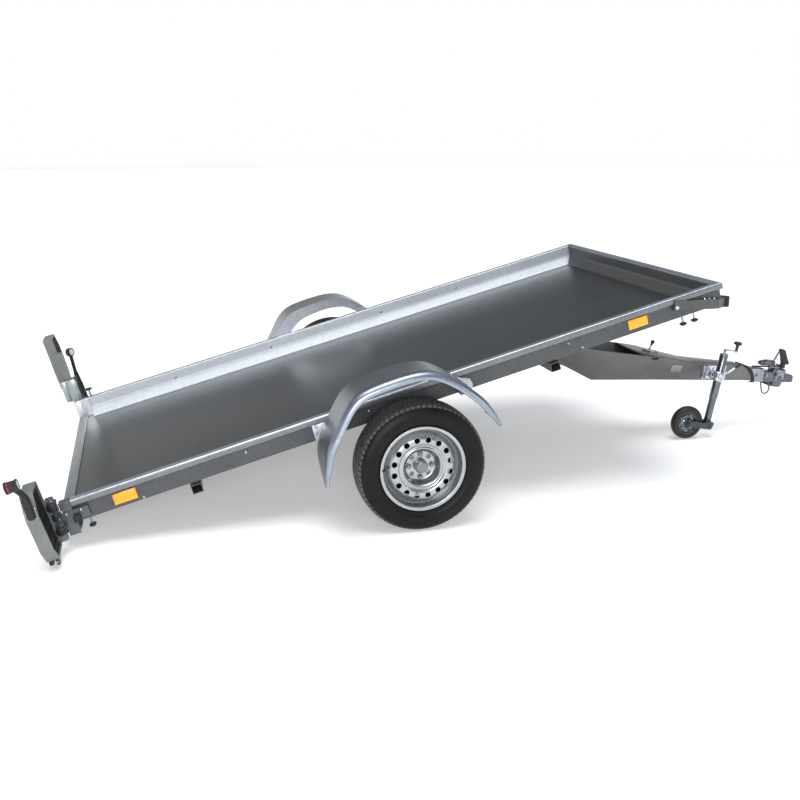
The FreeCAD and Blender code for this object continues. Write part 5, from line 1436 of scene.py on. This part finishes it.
# cast clamp round the tube
for z0, z1 in ((246.4, 261.0), (281.0, 295.6)):
    ring(bm, (0, 0, z0), (0, 0, z1), 31.0, 22.2, 48, 2.5)
ring(bm, (0, 0, 259.0), (0, 0, 283.0), 27.5, 22.2, 48, 1.0)
block(bm, -18.0, 18.0, -31.8, -24.0, 249.0, 293.0, 3.0, 0)
block(bm, -24.0, 24.0, 27.0, 95.0, 255.0, 287.0, 4.0, 0)
block(bm, -31.0, 31.0, 24.0, 35.0, 248.0, 294.0, 3.0, 0)
for x in (-24.0, 25.0):
    for z in (257.0, 285.0):
        rod(bm, (x, 20.0, z), (x, 44.0, z), 4.0)
        bolt(bm, (x, 24.0, z), (0, -1, 0), 7.0, 5.0)
        bolt(bm, (x, 35.0, z), (0, 1, 0), 7.0, 5.0)
rod(bm, (0, -44.0, 283.0), (0, -28.0, 283.0), 6.5)
bolt(bm, (0, -31.8, 261.0), (0, -1, 0), 7.5, 5.0)
piece("jockey_clamp_cast", bm, TUBE, "drawbar", ["zinc_bright_painted_highlight"], ["jockey_clamp"], 34)
bm = bmesh.new()
pipe(bm, [(0, -42.0, 283.0), (-4.0, -45.0, 296.0), (20.0, -46.0, 305.0), (60.0, -46.6, 339.4)], 4.8, 16, 12.0)
knob(bm, (0, -43.0, 283.0), 7.4, 16)
piece("clamp_lever_rod", bm, TUBE, "drawbar", ["zinc_bright_painted_highlight"], ["jockey_clamp_lever"], 60)
bm = bmesh.new()
m, length = along((52.0, -46.6, 332.5), (87.0, -47.0, 362.6))
lathe(bm, [(0, 0), (6.4, 0), (7.2, 2.0), (7.6, 12.0), (8.0, 30.0), (7.8, 40.0), (5.5, 45.0), (0, length)], 22, 0, m)
piece("clamp_lever_grip", bm, TUBE, "drawbar", ["plastic"], (), 40)

bm = bmesh.new()
prof = round_corners([(22.6, 388.8, 0), (22.6, 394.0, 0), (16.0, 396.4, 0), (9.0, 397.0, 0), (7.2, 399.0, 0), (7.0, 412.0, 0)],
                     [0, 2, 3, 1, 1, 0], 3)
lathe(bm, [(0, 388.8)] + [(p.x, p.y) for p in prof] + [(0, 413.0)], 36, 0)
sweep(bm, round_corners([(0, 0, 404.0), (-1.0, 0, 417.0), (30.0, 0, 418.0), (76.0, 0, 417.6)], [0, 9.0, 4.0, 0], 5),
      [(-7.8, -3.2), (7.8, -3.2), (7.8, 3.2), (-7.8, 3.2)], up=(0, 0, 1))
bolt(bm, (67.0, 0, 414.4), (0, 0, -1), 6.5, 4.0, False)
piece("crank_arm", bm, TUBE, "drawbar", ["zinc"], ["jockey_crank"], 34)
bm = bmesh.new()
prof = smooth_path([(0, 421.0, 0), (7.8, 421.2, 0), (8.0, 430.0, 0), (8.0, 444.0, 0), (11.0, 450.0, 0), (20.0, 453.5, 0), (22.0, 459.0, 0),
                    (20.0, 465.0, 0), (11.0, 469.2, 0), (0, 469.9, 0)], 4)
lathe(bm, [(max(p.x, 0.0), p.y) for p in prof], 30, 0, Matrix.Translation((67.0, 0, 0)))
piece("crank_knob", bm, TUBE, "drawbar", ["plastic"], (), 40)

# fork, in the tube's axes; the wheel's centre is at C
C = TUBE.inverted() @ JOCKEY.translation * 1000.0
bm = bmesh.new()
lathe(bm, [(0, 20.4), (21.6, 20.4), (22.0, 21.4), (21.4, 25.6), (16.0, 26.6), (15.8, 30.0), (0, 30.0)], 36, 0)
for s in (1, -1):
    out = [(C.x - 15.0, C.z - 10.0), (C.x - 8.0, C.z - 17.0), (C.x + 6.0, C.z - 17.0), (9.0, -18.0), (16.0, -7.0), (22.3, 20.8),
           (-22.0, 20.8), (-44.0, 14.0), (C.x + 8.0, C.z + 17.0), (C.x - 8.0, C.z + 16.0), (C.x - 15.0, C.z + 9.0)]
    rounded = round_corners([(x, z, 0) for x, z in out + out[:1]], [0] + [5.0] * (len(out) - 1) + [0], 3)[:-1]
    prism(bm, [(p.x, p.y) for p in rounded], s * 33.2, s * 37.8, "XZ", 1.2)
    rod(bm, (C.x, s * 32.0, C.z), (C.x, s * 43.6, C.z), 5.8)
    bolt(bm, (C.x, s * 37.8, C.z), (0, s, 0), 9.0, 5.0, True, turn=12)
block(bm, -22.0, 22.3, -37.6, 37.6, 15.2, 20.8, 2.0)
block(bm, 8.0, 14.4, -37.6, 37.6, -12.0, 17.0, 2.5)
rod(bm, (C.x, -43.0, C.z), (C.x, 43.0, C.z), 5.8)
piece("jockey_fork_plate", bm, TUBE, "jockey_fork_body", ["zinc_dark"], ["jockey_fork"], 34)

bm = bmesh.new()
half = smooth_path([(60.5, -19.0, 0), (63.0, -23.5, 0), (72.0, -24.9, 0), (79.0, -23.0, 0), (85.0, -17.0, 0), (88.6, -9.0, 0),
                    (89.8, 0.0, 0)], 4)
full = [(p.x, p.y) for p in half] + [(p.x, -p.y) for p in half[-2::-1]] + [(60.2, 10.0), (60.2, -10.0)]
lathe(bm, full, 72, 0, TURN_Y, closed=True)
piece("jockey_tyre_solid", bm, JOCKEY, "jockey_wheel", ["rubber"], ["jockey_tyre"], 40)
bm = bmesh.new()
prof = round_corners([(60.0, -20.0, 0), (60.0, -21.5, 0), (57.0, -21.5, 0), (55.0, -14.0, 0), (50.0, -9.0, 0), (40.0, -6.0, 0),
                      (28.0, -8.0, 0), (22.0, -12.0, 0), (18.0, -23.0, 0), (9.0, -24.6, 0)], [0, 1, 3, 4, 4, 4, 4, 3, 3, 0], 4)
lathe(bm, [(p.x, p.y) for p in prof] + [(p.x, -p.y) for p in prof[::-1]], 64, 0, TURN_Y, closed=True)
for k in range(5):
    a = 2 * math.pi * k / 5
    for s in (1, -1):
        mm = Matrix.Rotation(a, 4, "Y")
        block(bm, 26.0, 52.0, s * 8.0 - 4.0, s * 8.0 + 4.0, -2.6, 2.6, 1.5, 0, mm)
piece("jockey_rim_steel", bm, JOCKEY, "jockey_wheel", ["zinc_tube"], ["jockey_rim"], 36)

# ------------------------------------------------------------------ softened edges on the CAD nodes that stay
# ------------------------------------------------------------------ rear edge
# sill folded round the floor's rear edge: top, drop and return
bm = bmesh.new()
block(bm, -1438.0, -1391.0, -748.0, 748.0, 190.4, 194.2, 1.0, 0)
block(bm, -1438.0, -1435.0, -748.0, 748.0, 148.0, 194.0, 0.8, 0)
block(bm, -1438.0, -1360.0, -748.0, 748.0, 148.0, 151.0, 0.8, 0)
for v in (-690.0, -350.0, 0.0, 350.0, 690.0):
    dome(bm, (-1438.0, v, 170.0), (-1, 0, 0), 5.5, 2.4)
piece("sill_fold", bm, BED, "bed", ["galv_sill"], ["rear_sill"], 32)
# a cap over the left rear corner, in the corner zinc's painted light
bm = bmesh.new()
block(bm, -1438.0, -1403.0, 749.0, 785.4, 148.0, 287.4, 1.6, 0)
piece("corner_cap_left", bm, BED, "bed", ["galv_corner"], (), 32)

# rounded rubber noses on the front arms
bm = bmesh.new()
nose = [(184.0, 765.0), (194.0, 767.0), (203.0, 760.0), (206.0, 749.0), (200.0, 735.0), (188.0, 721.0), (176.0, 716.0), (178.0, 736.0),
        (188.0, 757.0)]
prism(bm, nose, -16.0, 31.5, "XY", 3.0, 0, mtx=lean, seg=3)
piece("arm_noses", bm, BED, "bed", ["rubber"], (), 36, both=True)

for name, width in (("rear_corner_posts", 0.0022), ("cross_members", 0.003), ("chassis_rails", 0.003),
                    ("axle_brackets", 0.0012), ("axle_tube", 0.004), ("swing_arms", 0.004), ("hinge_bracket", 0.002),
                    ("mudguard_brackets", 0.0012), ("front_arms", 0.003), ("front_arm_caps", 0.003), ("latch_catch", 0.0015),
                    ("clamp_screws", 0.0010), ("lamp_guides", 0.0014), ("lamp_board_left", 0.0012),
                    ("lamp_board_right", 0.0012), ("floor_panel", 0.0010)):
    soften(name, width)

# ------------------------------------------------------------------ CAD nodes kept
# galv_dark, galv_bar, galv_arm and galv_skirt are darker copies of the galvanising (painted shade); galv_corner and
# galv_guide carry painted light on the left and painted shade on the right
KEEP = {
    "floor_panel": "floor", "rear_sill": "galv_sill", "rear_corner_posts": "galv_corner", "cross_members": "galv_dark",
    "chassis_rails": "galv_dark", "axle_brackets": "galv_dark", "axle_tube": "galv_dark", "swing_arms": "galv_dark",
    "hinge_bracket": "galv_dark", "mudguard_brackets": "galv", "side_markers": "amber", "front_arms": "galv_arm",
    "front_arm_caps": "rubber", "latch_catch": "galv", "clamp_screws": "zinc", "lamp_guides": "galv_guide",
    "side_rails": "galv_skirt", "front_rail": "galv_skirt", "mudguard_left": "galv", "mudguard_right": "galv",
    "tyre_left": "tyre", "tyre_right": "tyre", "rim_left": "silver", "rim_right": "silver", "hub_left": "zinc",
    "hub_right": "zinc", "lamp_board_left": "tray", "lamp_board_right": "tray", "tail_lamp_left": "red",
    "tail_lamp_right": "red", "marker_lamp_left": "rubber", "marker_lamp_right": "rubber", "drawbar_beam": "galv_dark",
    "hinge_pin": "zinc", "drawbar_collar": "plastic", "latch_lever": "zinc", "coupling_head": "zinc",
    "coupling_handle": "plastic", "safety_loop": "zinc", "jockey_outer_tube": "zinc", "jockey_clamp": "zinc",
    "jockey_clamp_lever": "zinc", "jockey_crank": "zinc", "jockey_inner_tube": "zinc", "jockey_fork": "zinc",
    "jockey_tyre": "rubber", "jockey_rim": "silver",
}
for name, ob in NODES.items():
    ob.data.materials.clear()
    ob.data.materials.append(MAT[KEEP[name]])
